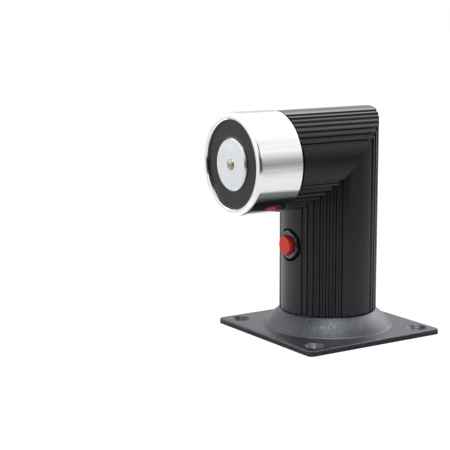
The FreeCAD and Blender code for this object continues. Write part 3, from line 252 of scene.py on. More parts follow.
class HolderStage(bpy.types.PropertyGroup):
    """Studio light, floor and camera."""

    key_power: power("Overhead light", "Power of the softbox above", 8.5)
    side_power: power("Side light", "Power of the soft light at the left", 3.0)
    window: brightness("Window", "Level of the bright window behind the object", 4.0)
    strip: brightness("Strip", "Level of the bright strip over the arm", 3.1)
    overhead: brightness("Overhead", "Level of the broad bright patch over the arm", 1.6)
    plain_level: brightness("Room", "Level of the plain light from all round", 0.6)
    lens: FloatProperty(
        name="Lens", description="Focal length of the camera", default=104.409, min=10, unit="CAMERA"
    )
    floor_width: length("Floor", "Width of the floor", 8.0)


def settings():
    """The three groups of settings on the scene."""
    scene = bpy.context.scene
    return scene.holder_colours, scene.holder_details, scene.holder_stage


def add_node(tree, kind, inputs=None, **options):
    """Add a node with its options. Each input is linked to a socket or set to a plain value."""
    made = tree.nodes.new(kind)
    for key, value in options.items():
        setattr(made, key, value)
    for key, value in (inputs or {}).items():
        if isinstance(value, bpy.types.NodeSocket):
            tree.links.new(value, made.inputs[key])
        else:
            made.inputs[key].default_value = value
    return made


def maths(tree, operation, first, second=0.0, clamp=False):
    """The result of a Math node on sockets or numbers."""
    inputs = {0: first, 1: second}
    return add_node(tree, "ShaderNodeMath", inputs, operation=operation, use_clamp=clamp).outputs[0]


def vector_maths(tree, operation, first, second=(0, 0, 0)):
    """The result of a Vector Math node on sockets or plain vectors."""
    made = add_node(tree, "ShaderNodeVectorMath", {0: first, 1: second}, operation=operation)
    return made.outputs["Value" if operation in {"DOT_PRODUCT", "DISTANCE", "LENGTH"} else "Vector"]


def scaled(tree, vector, factor):
    """A vector or colour times a number."""
    inputs = {0: vector, "Scale": factor}
    return add_node(tree, "ShaderNodeVectorMath", inputs, operation="SCALE").outputs["Vector"]


def height_of(tree, vector, axis="Z"):
    """One coordinate of a vector."""
    return add_node(tree, "ShaderNodeSeparateXYZ", {0: vector}).outputs[axis]


def ramp(tree, value, low, high, from_value=0.0, to_value=1.0):
    """Map a value between two limits, softly at both ends."""
    inputs = {"From Min": low, "From Max": high, "To Min": from_value, "To Max": to_value, "Value": value}
    return add_node(tree, "ShaderNodeMapRange", inputs, interpolation_type="SMOOTHSTEP").outputs["Result"]


def blend_colours(tree, factor, first, second):
    """Mix two colours, each a socket or three numbers."""
    inputs = {"Factor": factor}
    for place, value in ((MIX_FIRST, first), (MIX_SECOND, second)):
        inputs[place] = value if isinstance(value, bpy.types.NodeSocket) else (*value[:3], 1)
    return add_node(tree, "ShaderNodeMix", inputs, data_type="RGBA").outputs[MIX_RESULT]


def per_metre(tree, size):
    """The scale of a pattern whose features have that size."""
    return maths(tree, "DIVIDE", 1.0, size)


def noise_at(tree, vector, scale, detail=2.0, roughness=0.5):
    """Noise on a vector, with a plain or linked scale."""
    inputs = {"Vector": vector, "Scale": scale, "Detail": detail, "Roughness": roughness}
    return add_node(tree, "ShaderNodeTexNoise", inputs).outputs["Fac"]


def start_group(name, inputs, outputs):
    """Start a shader group with named sockets. An input is its name, its kind and its default."""
    tree = bpy.data.node_groups.new(name, "ShaderNodeTree")
    for label, kind, value in inputs:
        socket = tree.interface.new_socket(label, in_out="INPUT", socket_type=f"NodeSocket{kind}")
        if value is not None:
            socket.default_value = value
    for label, kind in outputs:
        tree.interface.new_socket(label, in_out="OUTPUT", socket_type=f"NodeSocket{kind}")
    return tree, tree.nodes.new("NodeGroupInput").outputs


def end_group(tree, **results):
    """Link a group's results to its outputs."""
    out = tree.nodes.new("NodeGroupOutput")
    for name, socket in results.items():
        tree.links.new(socket, out.inputs[name])
    return tree


def make_uneven_group():
    """Slow drift of tone and gloss with fine grain, as on any moulded, cast or plated face."""
    tree, given = start_group(
        "Uneven finish",
        [
            ("Vector", "Vector", None),
            ("Colour", "Color", (0.5, 0.5, 0.5, 1)),
            ("Drift", "Float", 0.1),
            ("Patch", "Float", 0.012),
            ("Grain", "Float", 0.0004),
            ("Roughness", "Float", 0.4),
            ("Gloss Drift", "Float", 0.05),
        ],
        [("Colour", "Color"), ("Roughness", "Float"), ("Height", "Float")],
    )
    full_swing = 2.0
    grain_share = 0.5
    patch = noise_at(tree, given["Vector"], per_metre(tree, given["Patch"]), detail=3)
    grain = noise_at(tree, given["Vector"], per_metre(tree, given["Grain"]), roughness=0.6)
    patch_swing = maths(tree, "SUBTRACT", patch, NOISE_MIDDLE)
    grain_swing = maths(tree, "MULTIPLY", maths(tree, "SUBTRACT", grain, NOISE_MIDDLE), grain_share)
    swing = maths(tree, "ADD", patch_swing, grain_swing)
    reach = maths(tree, "MULTIPLY", given["Drift"], full_swing)
    tone = maths(tree, "ADD", 1.0, maths(tree, "MULTIPLY", swing, reach))
    gloss_reach = maths(tree, "MULTIPLY", given["Gloss Drift"], full_swing)
    gloss = maths(tree, "MULTIPLY", patch_swing, gloss_reach)
    return end_group(
        tree,
        Colour=scaled(tree, given["Colour"], tone),
        Roughness=maths(tree, "ADD", given["Roughness"], gloss, clamp=True),
        Height=grain,
    )


def make_flecks_group():
    """Rounded lumps of powder coat, a few of them pale."""
    tree, given = start_group(
        "Powder coat",
        [("Vector", "Vector", None), ("Grain", "Float", 0.0005), ("Share", "Float", 0.25)],
        [("Fleck", "Float"), ("Height", "Float")],
    )
    # the noise has to be above the edge to make a fleck, and a larger share lowers the edge
    highest_edge, edge_reach, edge_softness = 0.68, 0.4, 0.12
    noise_size, noise_height = 0.9, 0.6
    scale = per_metre(tree, given["Grain"])
    inputs = {"Smoothness": 0.6, "Vector": given["Vector"], "Scale": scale}
    cells = add_node(tree, "ShaderNodeTexVoronoi", inputs, feature="SMOOTH_F1")
    lump = ramp(tree, cells.outputs["Distance"], low=0.65, high=0.05)
    noise_scale = maths(tree, "MULTIPLY", scale, noise_size)
    spread = noise_at(tree, given["Vector"], noise_scale, detail=3, roughness=0.65)
    edge = maths(tree, "SUBTRACT", highest_edge, maths(tree, "MULTIPLY", given["Share"], edge_reach))
    return end_group(
        tree,
        Fleck=ramp(tree, spread, edge, maths(tree, "ADD", edge, edge_softness)),
        Height=maths(tree, "ADD", lump, maths(tree, "MULTIPLY", spread, noise_height)),
    )


def make_rings_group():
    """Tool marks in rings about a line along Y."""
    tree, given = start_group(
        "Turned rings",
        [("Vector", "Vector", None), ("Centre", "Vector", (0, 0, 0)), ("Pitch", "Float", 0.0003)],
        [("Height", "Float")],
    )
    wave_share = 0.3
    away = vector_maths(tree, "SUBTRACT", given["Vector"], given["Centre"])
    radius = vector_maths(tree, "LENGTH", vector_maths(tree, "MULTIPLY", away, (1, 0, 1)))
    turn = maths(tree, "DIVIDE", maths(tree, "MULTIPLY", radius, math.tau), given["Pitch"])
    wave = maths(tree, "MULTIPLY", maths(tree, "SINE", turn), wave_share)
    inputs = {"Detail": 3.0, "W": maths(tree, "DIVIDE", radius, given["Pitch"])}
    spread = add_node(tree, "ShaderNodeTexNoise", inputs, noise_dimensions="1D")
    return end_group(tree, Height=maths(tree, "ADD", wave, spread.outputs["Fac"]))


def make_streaks_group():
    """Fine lines drawn out along Y, as on a polished length."""
    tree, given = start_group(
        "Drawn lines",
        [("Vector", "Vector", None), ("Stretch", "Vector", (1, 0.02, 1)), ("Line", "Float", 0.0003)],
        [("Height", "Float"), ("Streak", "Float")],
    )
    broad_share = 0.22
    drawn = vector_maths(tree, "MULTIPLY", given["Vector"], given["Stretch"])
    scale = per_metre(tree, given["Line"])
    fine = noise_at(tree, drawn, scale, detail=3, roughness=0.6)
    broad = noise_at(tree, drawn, maths(tree, "MULTIPLY", scale, broad_share))
    streak = maths(tree, "MULTIPLY", maths(tree, "ADD", fine, broad), 1 / 2)
    return end_group(tree, Height=fine, Streak=streak)


def make_edges_group():
    """A softly rounded normal at sharp edges, and a mask of where they are."""
    tree, given = start_group(
        "Soft edges", [("Width", "Float", 0.0002)], [("Normal", "Vector"), ("Edge", "Float")]
    )
    rounded = add_node(tree, "ShaderNodeBevel", {"Radius": given["Width"]}, samples=6).outputs[0]
    true = add_node(tree, "ShaderNodeNewGeometry").outputs["Normal"]
    likeness = vector_maths(tree, "DOT_PRODUCT", rounded, true)
    return end_group(tree, Normal=rounded, Edge=ramp(tree, likeness, low=0.995, high=0.8))


GROUP_MAKERS = {
    "Uneven finish": make_uneven_group,
    "Powder coat": make_flecks_group,
    "Turned rings": make_rings_group,
    "Drawn lines": make_streaks_group,
    "Soft edges": make_edges_group,
}


class Finish:
    """A Principled material being made on Object coordinates."""

    def __init__(self, name, metallic=0.0, **plain):
        self.material = bpy.data.materials.new(name)
        self.material.use_nodes = True
        self.tree = self.material.node_tree
        self.shader = self.tree.nodes["Principled BSDF"]
        self.shader.inputs["Metallic"].default_value = metallic
        for key, value in plain.items():
            self.shader.inputs[key.replace("_", " ")].default_value = value
        self.place = self.tree.nodes.new("ShaderNodeTexCoord").outputs["Object"]

    def group(self, name, **values):
        """Place a shared group, on Object coordinates where it takes a vector."""
        shared = bpy.data.node_groups.get(name) or GROUP_MAKERS[name]()
        made = self.tree.nodes.new("ShaderNodeGroup")
        made.node_tree = shared
        if "Vector" in made.inputs:
            self.tree.links.new(self.place, made.inputs["Vector"])
        for key, value in values.items():
            made.inputs[key.replace("_", " ")].default_value = value
        return made.outputs

    def feed(self, name, socket):
        """Link a socket to an input of the shader."""
        self.tree.links.new(socket, self.shader.inputs[name])

    def uneven(self, tone, roughness, drift, patch, grain, gloss):
        """Give the shader a colour and roughness that drift, and return the group's outputs."""
        made = self.group(
            "Uneven finish",
            Colour=(*tone, 1),
            Drift=drift,
            Patch=patch,
            Grain=grain,
            Roughness=roughness,
            Gloss_Drift=gloss,
        )
        self.feed("Base Color", made["Colour"])
        self.feed("Roughness", made["Roughness"])
        return made

    def bump(self, height, depth, normal=None):
        """Give the shader a bump of that depth, on a normal where there is one."""
        made = add_node(self.tree, "ShaderNodeBump", {"Distance": depth, "Height": height})
        if normal is not None:
            self.tree.links.new(normal, made.inputs["Normal"])
        self.feed("Normal", made.outputs["Normal"])


def plain_finish(
    name,
    tone,
    roughness,
    metallic=0.0,
    drift=0.08,
    patch=0.012,
    grain=0.0004,
    gloss=0.05,
    depth=4e-6,
    **plain,
):
    """A moulded, rubber, plated or cast finish with drift of tone and gloss and fine grain."""
    made = Finish(name, metallic, **plain)
    uneven = made.uneven(tone, roughness, drift, patch, grain, gloss)
    made.bump(uneven["Height"], depth)
    return made.material


def turned_finish(name, tone, roughness, pitch, depth, **drifts):
    """Bare metal turned about the magnet's axis, with fine rings."""
    made = Finish(name, metallic=1.0)
    rings = made.group("Turned rings", Centre=ARM_AXIS, Pitch=pitch)
    made.uneven(tone, roughness, **drifts)
    made.bump(rings["Height"], depth)
    return made.material


def edged_finish(name, tone, roughness, wear_and_edge_highlight, share, width, depth, ior, **drifts):
    """A smooth finish with a painted highlight: its colour is paler along its rounded edges."""
    made = Finish(name, IOR=ior)
    uneven = made.uneven(tone, roughness, **drifts)
    edges = made.group("Soft edges", Width=width)
    # the paler colour along the edges is a painted highlight
    painted_edge_highlight = maths(made.tree, "MULTIPLY", edges["Edge"], share)
    made.feed("Base Color", blend_colours(made.tree, painted_edge_highlight, uneven["Colour"], wear_and_edge_highlight))
    made.bump(uneven["Height"], depth, normal=edges["Normal"])
    return made.material


def housing_finish(colours, details):
    """Satin black on the extruded profile: fine grain, and soft lit edges on the ribs."""
    made = Finish("Housing satin black", IOR=1.42, Specular_Tint=(0.9, 0.95, 1.0, 1))
    uneven = made.uneven(colours.housing, 0.17, drift=0.2, patch=0.02, grain=details.satin, gloss=0.03)
    edges = made.group("Soft edges", Width=details.rib_edge)
    made.bump(uneven["Height"], 3e-6, normal=edges["Normal"])
    return made.material


def base_finish(colours, details):
    """Speckled dark grey powder coat on the casting."""
    made = Finish("Base powder coat", IOR=1.62, Specular_Tint=(0.86, 0.9, 1.0, 1))
    uneven = made.uneven(colours.base, 0.31, drift=0.15, patch=0.02, grain=0.0012, gloss=0.05)
    powder = made.group("Powder coat", Grain=details.powder, Share=0.3)
    edges = made.group("Soft edges", Width=details.edge)
    speckled = blend_colours(made.tree, powder["Fleck"], uneven["Colour"], colours.fleck)
    made.feed("Base Color", speckled)
    made.bump(powder["Height"], 8.5e-5, normal=edges["Normal"])
    return made.material


def chrome_finish(colours):
    """Bright plating with faint lines along the pot's length."""
    made = Finish("Pot bright chrome", metallic=1.0)
    lines = made.group("Drawn lines", Line=0.0007)
    uneven = made.group(
        "Uneven finish", Colour=(*colours.chrome, 1), Drift=0.02, Patch=0.02, Grain=0.0006
    )
    wear_and_edge_highlight = ramp(made.tree, lines["Streak"], low=0.4, high=0.62, to_value=0.55)
    made.feed("Base Color", blend_colours(made.tree, wear_and_edge_highlight, uneven["Colour"], colours.wear_and_edge_highlight))
    duller = ramp(made.tree, lines["Streak"], low=0.3, high=0.7, from_value=0.07, to_value=0.15)
    made.feed("Roughness", duller)
    made.bump(lines["Height"], 1e-6)
    return made.material


def winding_finish():
    """Enamelled copper wire in layers, its turns read along Y."""
    wire_pitch = 0.0004
    made = Finish("Winding enamelled copper", metallic=0.85)
    made.uneven((0.42, 0.13, 0.05), 0.32, drift=0.2, patch=0.003, grain=0.0003, gloss=0.05)
    along = height_of(made.tree, made.place, "Y")
    turn = maths(made.tree, "MULTIPLY", along, math.tau / wire_pitch)
    made.bump(maths(made.tree, "SINE", turn), 5e-5)
    return made.material


def dress(names, material):
    """Give CAD nodes that one material."""
    for name in names:
        piece = frame["nodes"][name]
        piece.data.materials.clear()
        piece.data.materials.append(material)


def add_object(name, data):
    """Add an object to the scene."""
    made = bpy.data.objects.new(name, data)
    bpy.context.scene.collection.objects.link(made)
    return made


def as_mesh(shape, name):
    """Turn a bmesh into a mesh and free it."""
    mesh = bpy.data.meshes.new(name)
    shape.to_mesh(mesh)
    shape.free()
    return mesh


def smooth_by_angle(mesh, degrees):
    """Smooth a mesh's faces and keep the edges that are sharper than the angle."""
    shape = bmesh.new()
    shape.from_mesh(mesh)
    for face in shape.faces:
        face.smooth = True
    for edge in shape.edges:
        turn = edge.calc_face_angle(math.pi) if len(edge.link_faces) == 2 else math.pi
        edge.smooth = turn < math.radians(degrees)
    shape.to_mesh(mesh)
    shape.free()


def finish_piece(name, shape, body, material, replaced=(), smooth=40):
    """Turn a bmesh into a piece that rides on a body, with its place in its mesh."""
    if not shape.faces:
        raise RuntimeError(name + " has no faces")
    bmesh.ops.remove_doubles(shape, verts=shape.verts, dist=SAME_POINT)
    bmesh.ops.recalc_face_normals(shape, faces=shape.faces)
    piece = add_object(name, as_mesh(shape, name))
    piece.data.materials.append(material)
    smooth_by_angle(piece.data, smooth)
    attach(piece, body)
    if replaced:
        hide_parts(*replaced)
    return piece


def merged_copy(name):
    """A welded copy of a solid's mesh."""
    shape = bmesh.new()
    shape.from_mesh(frame["nodes"][name].data)
    bmesh.ops.remove_doubles(shape, verts=shape.verts, dist=WELD)
    return shape


def separate_solids(name):
    """The points of each separate solid of a node."""
    shape = merged_copy(name)
    waiting = dict.fromkeys(shape.verts)
    solids = []
    while waiting:
        found = [waiting.popitem()[0]]
        for vert in found:
            near = [edge.other_vert(vert) for edge in vert.link_edges]
            for other in near:
                if other in waiting:
                    del waiting[other]
                    found.append(other)
        solids.append([vert.co.copy() for vert in found])
    shape.free()
    return solids


def spin_round(shape, parts, centre, axis, steps):
    """Spin an outline through a full turn."""
    bmesh.ops.spin(
        shape,
        geom=parts,
        cent=centre,
        axis=axis,
        dvec=(0, 0, 0),
        angle=math.tau,
        steps=steps,
        use_merge=True,
        use_duplicate=False,
    )


def revolve(outline, centre, turns):
    """Spin a closed outline of (radius, y) points about the line along Y through a centre."""
    shape = bmesh.new()
    points = [shape.verts.new((centre.x + radius, y, centre.z)) for radius, y in outline]
    edges = [shape.edges.new(pair) for pair in zip(points, points[1:] + points[:1])]
    spin_round(shape, points + edges, centre, (0, 1, 0), turns)
    return shape


def read_screw(points, middle):
    """Radii of a plain screw's head and shank, and levels of its face, shoulder and tip."""
    away = [(math.hypot(p.x - middle.x, p.y - middle.y), p.z) for p in points]
    head = max(radius for radius, _ in away)
    bottom, top = min(z for _, z in away), max(z for _, z in away)
    wide = [z for radius, z in away if radius > head * HEAD_RIM]
    narrow = [radius for radius, _ in away if ON_AXIS < radius < head * HEAD_RIM]
    shank = max(narrow) if narrow else head
    turned_up = min(wide) - bottom > top - max(wide)
    face, shoulder, tip = (top, min(wide), bottom) if turned_up else (bottom, max(wide), top)
    return head, shank, face, shoulder, tip


def screw_outline(head, shank, face, shoulder, tip, inward):
    """Half the section of a screw as (radius, z) points, from the rim of its face to its tip."""
    rounding = min(HEAD_ROUND, abs(shoulder - face) * HEAD_ROUND_SHARE)
    outline = []
    for step in range(HEAD_STEPS + 1):
        angle = math.radians(90 * step / HEAD_STEPS)
        radius = head - rounding * (1 - math.sin(angle))
        outline.append((radius, face + inward * rounding * (1 - math.cos(angle))))
    start = face + inward * rounding
    if shank < head:
        outline += [(head, shoulder), (shank, shoulder)]
        start = shoulder
    pitch = shank * THREAD_PITCH
    turns = int((abs(tip - start) - shank * PLAIN_END) / pitch)
    for turn in range(turns):
        level = start + inward * pitch * (turn + THREAD_LEAD)
        outline.append((shank, level))
        outline.append((shank * THREAD_ROOT, level + inward * pitch * THREAD_VALLEY))
        outline.append((shank, level + inward * pitch * THREAD_CREST))
    outline += [(shank, tip - inward * shank * TIP_HEIGHT), (shank * TIP_RADIUS, tip), (0, tip)]
    return outline


def cut_screw(points, drive, reach, depth):
    """A screw in the place of a plain one: rounded head, drive recess, thread and blunt tip."""
    middle = Vector((sum(p.x for p in points), sum(p.y for p in points), 0)) / len(points)
    head, shank, face, shoulder, tip = read_screw(points, middle)
    inward = 1 if tip > face else -1
    outline = screw_outline(head, shank, face, shoulder, tip, inward)
    shape = bmesh.new()
    verts = [shape.verts.new((middle.x + radius, middle.y, z)) for radius, z in outline]
    edges = [shape.edges.new(pair) for pair in zip(verts, verts[1:])]
    spin_round(shape, verts + edges, middle, (0, 0, 1), SCREW_STEPS)
    rim = [edge for edge in shape.edges if edge.is_boundary]

    def ring(reach, level):
        return [shape.verts.new((middle.x + x * reach, middle.y + y * reach, level)) for x, y in drive]

    mouth = ring(reach, face)
    floor = ring(reach * RECESS_TAPER, face + inward * depth)
    walls = list(zip(mouth, mouth[1:] + mouth[:1], floor[1:] + floor[:1], floor))
    lips = [shape.edges.new((first, second)) for first, second, _, _ in walls]
    bmesh.ops.triangle_fill(shape, use_beauty=True, edges=rim + lips)
    for corners in walls:
        shape.faces.new(corners)
    shape.faces.new(floor)
    return shape


class HOLDER_OT_screws(bpy.types.Operator):
    """Cut drives and threads into the screws that show from below"""

    bl_idname = "door_holder.screws"
    bl_label = "Screws"

    def execute(self, context):
        bright = plain_finish("Screws bright zinc", (0.6, 0.61, 0.63), 0.3, metallic=1.0, patch=0.003)
        # each kind's drive, with the reach and the depth of its recess
        kinds = (
            ("base_screws", CROSS, 0.0019, 0.0014),
            ("bracket_screws", CROSS, 0.0016, 0.0011),
            ("terminal_screws", SLOT, 0.00125, 0.0007),
        )
        for name, drive, reach, depth in kinds:
            gathered = bmesh.new()
            for points in separate_solids(name):
                one = as_mesh(cut_screw(points, drive, reach, depth), "screw")
                gathered.from_mesh(one)
                bpy.data.meshes.remove(one)
            finish_piece("cut_" + name, gathered, HOLDER, bright, (name,), smooth=35)
        dress(("disc_screws", "magnet_bolt"), bright)
        return {"FINISHED"}


def mitre_line(details):
    """A thin filler along the mitre, taken from the skin of the post between two planes."""
    shape = merged_copy("post_housing")
    half = MITRE_NORMAL * details.seam * 0.5
    for point, keep_above in ((MITRE_POINT - half, True), (MITRE_POINT + half, False)):
        bmesh.ops.bisect_plane(
            shape,
            geom=shape.verts[:] + shape.edges[:] + shape.faces[:],
            plane_co=point,
            plane_no=MITRE_NORMAL,
            clear_inner=keep_above,
            clear_outer=not keep_above,
        )
    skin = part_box("post_housing")[1].x - SKIN_DEPTH

    def is_hidden(face):
        centre = face.calc_center_median()
        cut = abs(face.normal.dot(MITRE_NORMAL)) > CUT_FACING
        return cut or math.hypot(centre.x, centre.y) < skin

    hidden = [face for face in shape.faces if is_hidden(face)]
    bmesh.ops.delete(shape, geom=hidden, context="FACES")
    bmesh.ops.recalc_face_normals(shape, faces=shape.faces)
    shape.normal_update()
    bmesh.ops.solidify(shape, geom=shape.faces[:], thickness=-details.seam_proud)
    return shape


class HOLDER_OT_housing(bpy.types.Operator):
    """Finish the ribbed post and arm and fill the line of their mitre"""

    bl_idname = "door_holder.housing"
    bl_label = "Housing"

    def execute(self, context):
        colours, details, _ = settings()
        dress(("post_housing", "arm_housing"), housing_finish(colours, details))
        dark = plain_finish("Mitre line", (0.0012, 0.0012, 0.0013), 0.75, drift=0.1, depth=2e-6)
        finish_piece("mitre_line", mitre_line(details), HOLDER, dark, smooth=30)
        return {"FINISHED"}


class HOLDER_OT_base(bpy.types.Operator):
    """Finish the cast base"""

    bl_idname = "door_holder.base"
    bl_label = "Base"

    def execute(self, context):
        colours, details, _ = settings()
        dress(("base_plate",), base_finish(colours, details))
        return {"FINISHED"}


def rounded_pin(turns):
    """The sprung pin with its collar and stem, its end rounded over to the side."""
    solid = separate_solids("ejector_pin")[0]
    points = [(math.hypot(p.x - ARM_AXIS.x, p.z - ARM_AXIS.z), p.y) for p in solid]
    collar = max(radius for radius, _ in points)
    wide = [y for radius, y in points if radius > collar * COLLAR_RIM]
    front, back = min(wide), max(wide)
    tip, end = min(y for _, y in points), max(y for _, y in points)
    pin = max(radius for radius, y in points if y < front - STEP_MARGIN)
    stem = max(radius for radius, y in points if y > back + STEP_MARGIN)
    dome = min(y for radius, y in points if radius > pin * DOME_RIM) - tip
    outline = [(0, end), (stem, end), (stem, back), (collar, back), (collar, front), (pin, front)]
    for step in range(DOME_STEPS):
        angle = math.radians(90 * (1 - step / DOME_STEPS))
        outline.append((pin * math.sin(angle), tip + dome * (1 - math.cos(angle))))
    outline.append((0, tip))
    return revolve(outline, ARM_AXIS, turns)


def set_resin(details):
    """The resin ring, which climbs a little at both poles and has set slightly uneven."""
    low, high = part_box("potting_resin")
    core_low, core_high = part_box("pole_core")
    front, back = low.y, high.y
    bore, core = (high.x - low.x) / 2, (core_high.x - core_low.x) / 2
    outer, inner = bore - CLIMB_WIDTH, core + CLIMB_WIDTH
    outline = [(core, back), (bore, back)]
    for step in range(CLIMB_STEPS + 1):
        share = 1 - step / CLIMB_STEPS
        climb = details.meniscus * share**CLIMB_POWER
        outline.append((bore - CLIMB_WIDTH * (1 - share), front - climb))
    for ring in range(1, FLAT_RINGS):
        outline.append((outer + (inner - outer) * ring / FLAT_RINGS, front))
    for step in range(CLIMB_STEPS + 1):
        share = step / CLIMB_STEPS
        climb = details.meniscus * share**CLIMB_POWER
        outline.append((core + CLIMB_WIDTH * (1 - share), front - climb))
    shape = revolve(outline, ARM_AXIS, details.turns)
    for vert in shape.verts:
        if vert.co.y < front + FACE_MARGIN:
            swell = sum(share * noise.noise(vert.co * waves) for waves, share in RESIN_WAVES)
            vert.co.y += details.resin_sag * swell
    return shape


class HOLDER_OT_magnet(bpy.types.Operator):
    """Finish the poles, pot the coil in resin and finish the sprung pin"""

    bl_idname = "door_holder.magnet"
    bl_label = "Magnet"

    def execute(self, context):
        colours, details, _ = settings()
        dress(("magnet_pot",), chrome_finish(colours))
        drifts = {"drift": 0.04, "patch": 0.01, "grain": 0.0003, "gloss": 0.04}
        steel = turned_finish("Pole turned steel", colours.pole, 0.27, details.rings, 2e-6, **drifts)
        dress(("pole_core",), steel)
        drifts = {"drift": 0.2, "patch": 0.0015, "grain": 0.0002, "gloss": 0.08}
        brass = turned_finish("Pin brass", colours.brass, 0.13, details.rings * 0.6, 4e-6, **drifts)
        pin = rounded_pin(details.turns)
        finish_piece("rounded_pin", pin, EJECTOR, brass, ("ejector_pin",))
        dress(("coil_winding",), winding_finish())
        dress(("coil_bobbin",), plain_finish("Bobbin plastic", (0.62, 0.6, 0.54), 0.45))
        rubber = plain_finish("Seal rubber", (0.011, 0.011, 0.0115), 0.62, grain=0.00025, depth=8e-6)
        dress(("seal_gasket", "lead_grommet"), rubber)
        drifts = {"drift": 0.1, "patch": 0.008, "grain": 0.0005, "gloss": 0.06}
        resin = plain_finish("Resin set dark", colours.resin, 0.28, depth=3e-6, IOR=1.38, **drifts)
        finish_piece("set_resin", set_resin(details), HOLDER, resin, ("potting_resin",))
        return {"FINISHED"}


class HOLDER_OT_springs(bpy.types.Operator):
    """Replace the two springs with copies in a steel wire finish"""

    bl_idname = "door_holder.springs"
    bl_label = "Springs"

    def execute(self, context):
        wire = plain_finish("Spring steel wire", (0.5, 0.5, 0.51), 0.28, metallic=1.0, patch=0.002)
        for joint in frame["record"]["behaviour"]["joints"]:
            for pressed in joint["deforming_nodes"]:
                name = pressed["node"]
                anchor = sum(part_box(name), Vector()) / 2
                anchor.y = pressed["fixed_end_y_m"]
                spring = merged_copy(name)
                piece = finish_piece("pressed_" + name, spring, HOLDER, wire, (name,))
                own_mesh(piece)
        return {"FINISHED"}


class HOLDER_OT_button(bpy.types.Operator):
    """Finish the release button and its switch"""

    bl_idname = "door_holder.button"
    bl_label = "Release button"

    def execute(self, context):
        colours, details, _ = settings()
        red = edged_finish(
            "Cap red plastic",
            colours.cap,
            0.4,
            # the paler red along the cap's edges is a painted highlight
            wear_and_edge_highlight=(0.72, 0.06, 0.045),
            share=0.35,
            width=details.edge * 0.6,
            depth=5e-6,
            ior=1.34,
            drift=0.1,
            patch=0.003,
            grain=0.0002,
            gloss=0.05,
        )
        dress(("button_cap",), red)
        oxide = edged_finish(
            "Nut black oxide",
            (0.012, 0.012, 0.013),
            # the paler grey along the nut's edges is a painted highlight
            0.12,
            wear_and_edge_highlight=(0.05, 0.05, 0.055),
            share=0.2,
            width=details.edge,
            depth=4e-6,
            ior=1.6,
            drift=0.2,
            patch=0.002,
            grain=0.0002,
            gloss=0.05,
        )
        dress(("switch_nut",), oxide)
        black = plain_finish("Switch black plastic", (0.012, 0.012, 0.013), 0.4, grain=0.0003)
        dress(("switch_barrel", "switch_case"), black)
        zinc = plain_finish("Washer zinc", (0.55, 0.55, 0.56), 0.35, metallic=1.0, patch=0.002)
        dress(("switch_washer",), zinc)
        dress(("switch_plunger",), plain_finish("Plunger white plastic", (0.6, 0.6, 0.58), 0.4))
        brass = plain_finish("Contact brass", (0.62, 0.48, 0.24), 0.3, metallic=1.0, patch=0.002)
        dress(("contact_bridge", "switch_contacts"), brass)
        return {"FINISHED"}


class HOLDER_OT_inside(bpy.types.Operator):
    """Finish the fittings and wiring held inside the housing"""

    bl_idname = "door_holder.inside"
    bl_label = "Fittings and wiring"

    def execute(self, context):
        cast = {"metallic": 1.0, "grain": 0.0008, "depth": 1.5e-5}
        plated = {"metallic": 1.0, "patch": 0.006}
        nickelled = {"metallic": 1.0, "patch": 0.003}
        fine, finer = {"grain": 0.0003}, {"grain": 0.0002}
        # each finish's name, colour, roughness, what differs from the plain one, and its nodes
        finishes = (
            ("Cleat die casting", (0.42, 0.43, 0.44), 0.5, cast, ["corner_cleat"]),
            ("Zinc plated steel", (0.56, 0.57, 0.6), 0.38, plated, ["mounting_disc", "inner_bracket"]),
            ("Clamps nickelled brass", (0.62, 0.59, 0.5), 0.32, nickelled, ["terminal_clamps"]),
            ("Terminal block plastic", (0.42, 0.42, 0.4), 0.45, fine, ["terminal_block"]),
            ("Diode epoxy", (0.015, 0.015, 0.016), 0.35, finer, ["suppressor_diode"]),
            ("Lead insulation", (0.03, 0.03, 0.032), 0.45, finer, ["magnet_leads", "switch_lead"]),
        )
        for title, tone, roughness, others, names in finishes:
            dress(names, plain_finish(title, tone, roughness, **others))
        return {"FINISHED"}


def studio_level(tree, sight, stage):
    """The studio's level in each direction: grey low on its far side, with three bright parts."""

    def part(which, from_value, to_value):
        near = vector_maths(tree, "DOT_PRODUCT", sight, Vector(which.direction).normalized())
        return ramp(tree, near, which.begins, which.full, from_value, to_value)

    far_side = part(FAR_SIDE, 0.0, 1.0)
    rising = ramp(tree, height_of(tree, sight), *FAR_RISE, FAR_LEVEL, ROOM_LEVEL)
    fall = maths(tree, "MULTIPLY", far_side, maths(tree, "SUBTRACT", rising, ROOM_LEVEL))
    level = maths(tree, "ADD", ROOM_LEVEL, fall)
    level = maths(tree, "MULTIPLY", level, part(BEHIND, 1.0, BEHIND_LEVEL))
    bright = maths(tree, "MAXIMUM", part(STRIP, 1.0, stage.strip), part(OVERHEAD, 1.0, stage.overhead))
    bright = maths(tree, "MAXIMUM", part(WINDOW, 1.0, stage.window), bright)
    return maths(tree, "MULTIPLY", level, bright)


def unlit_corner(tree, sight):
    """Where the studio is unlit: low behind the camera, with one narrow part that stands taller."""
    height = height_of(tree, sight)
    heading = vector_maths(tree, "NORMALIZE", vector_maths(tree, "MULTIPLY", sight, (1, 1, 0)))
    ahead = vector_maths(tree, "DOT_PRODUCT", heading, DARK_SIDE)
    swing = maths(tree, "SUBTRACT", noise_at(tree, sight, RAGGED_SCALE, detail=3), NOISE_MIDDLE)
    ragged = maths(tree, "MULTIPLY", swing, RAGGED_DEPTH)
    ragged_height = maths(tree, "ADD", height, ragged)
    beside = ramp(tree, maths(tree, "ADD", ahead, ragged), *DARK_EDGE)
    low = maths(tree, "MULTIPLY", beside, ramp(tree, ragged_height, *DARK_TOP))
    finer = maths(tree, "MULTIPLY", ragged, 0.5)
    narrow = ramp(tree, maths(tree, "ADD", ahead, finer), *TALL_EDGE)
    tall = maths(tree, "MULTIPLY", narrow, ramp(tree, ragged_height, *TALL_TOP))
    return maths(tree, "MAXIMUM", low, tall)


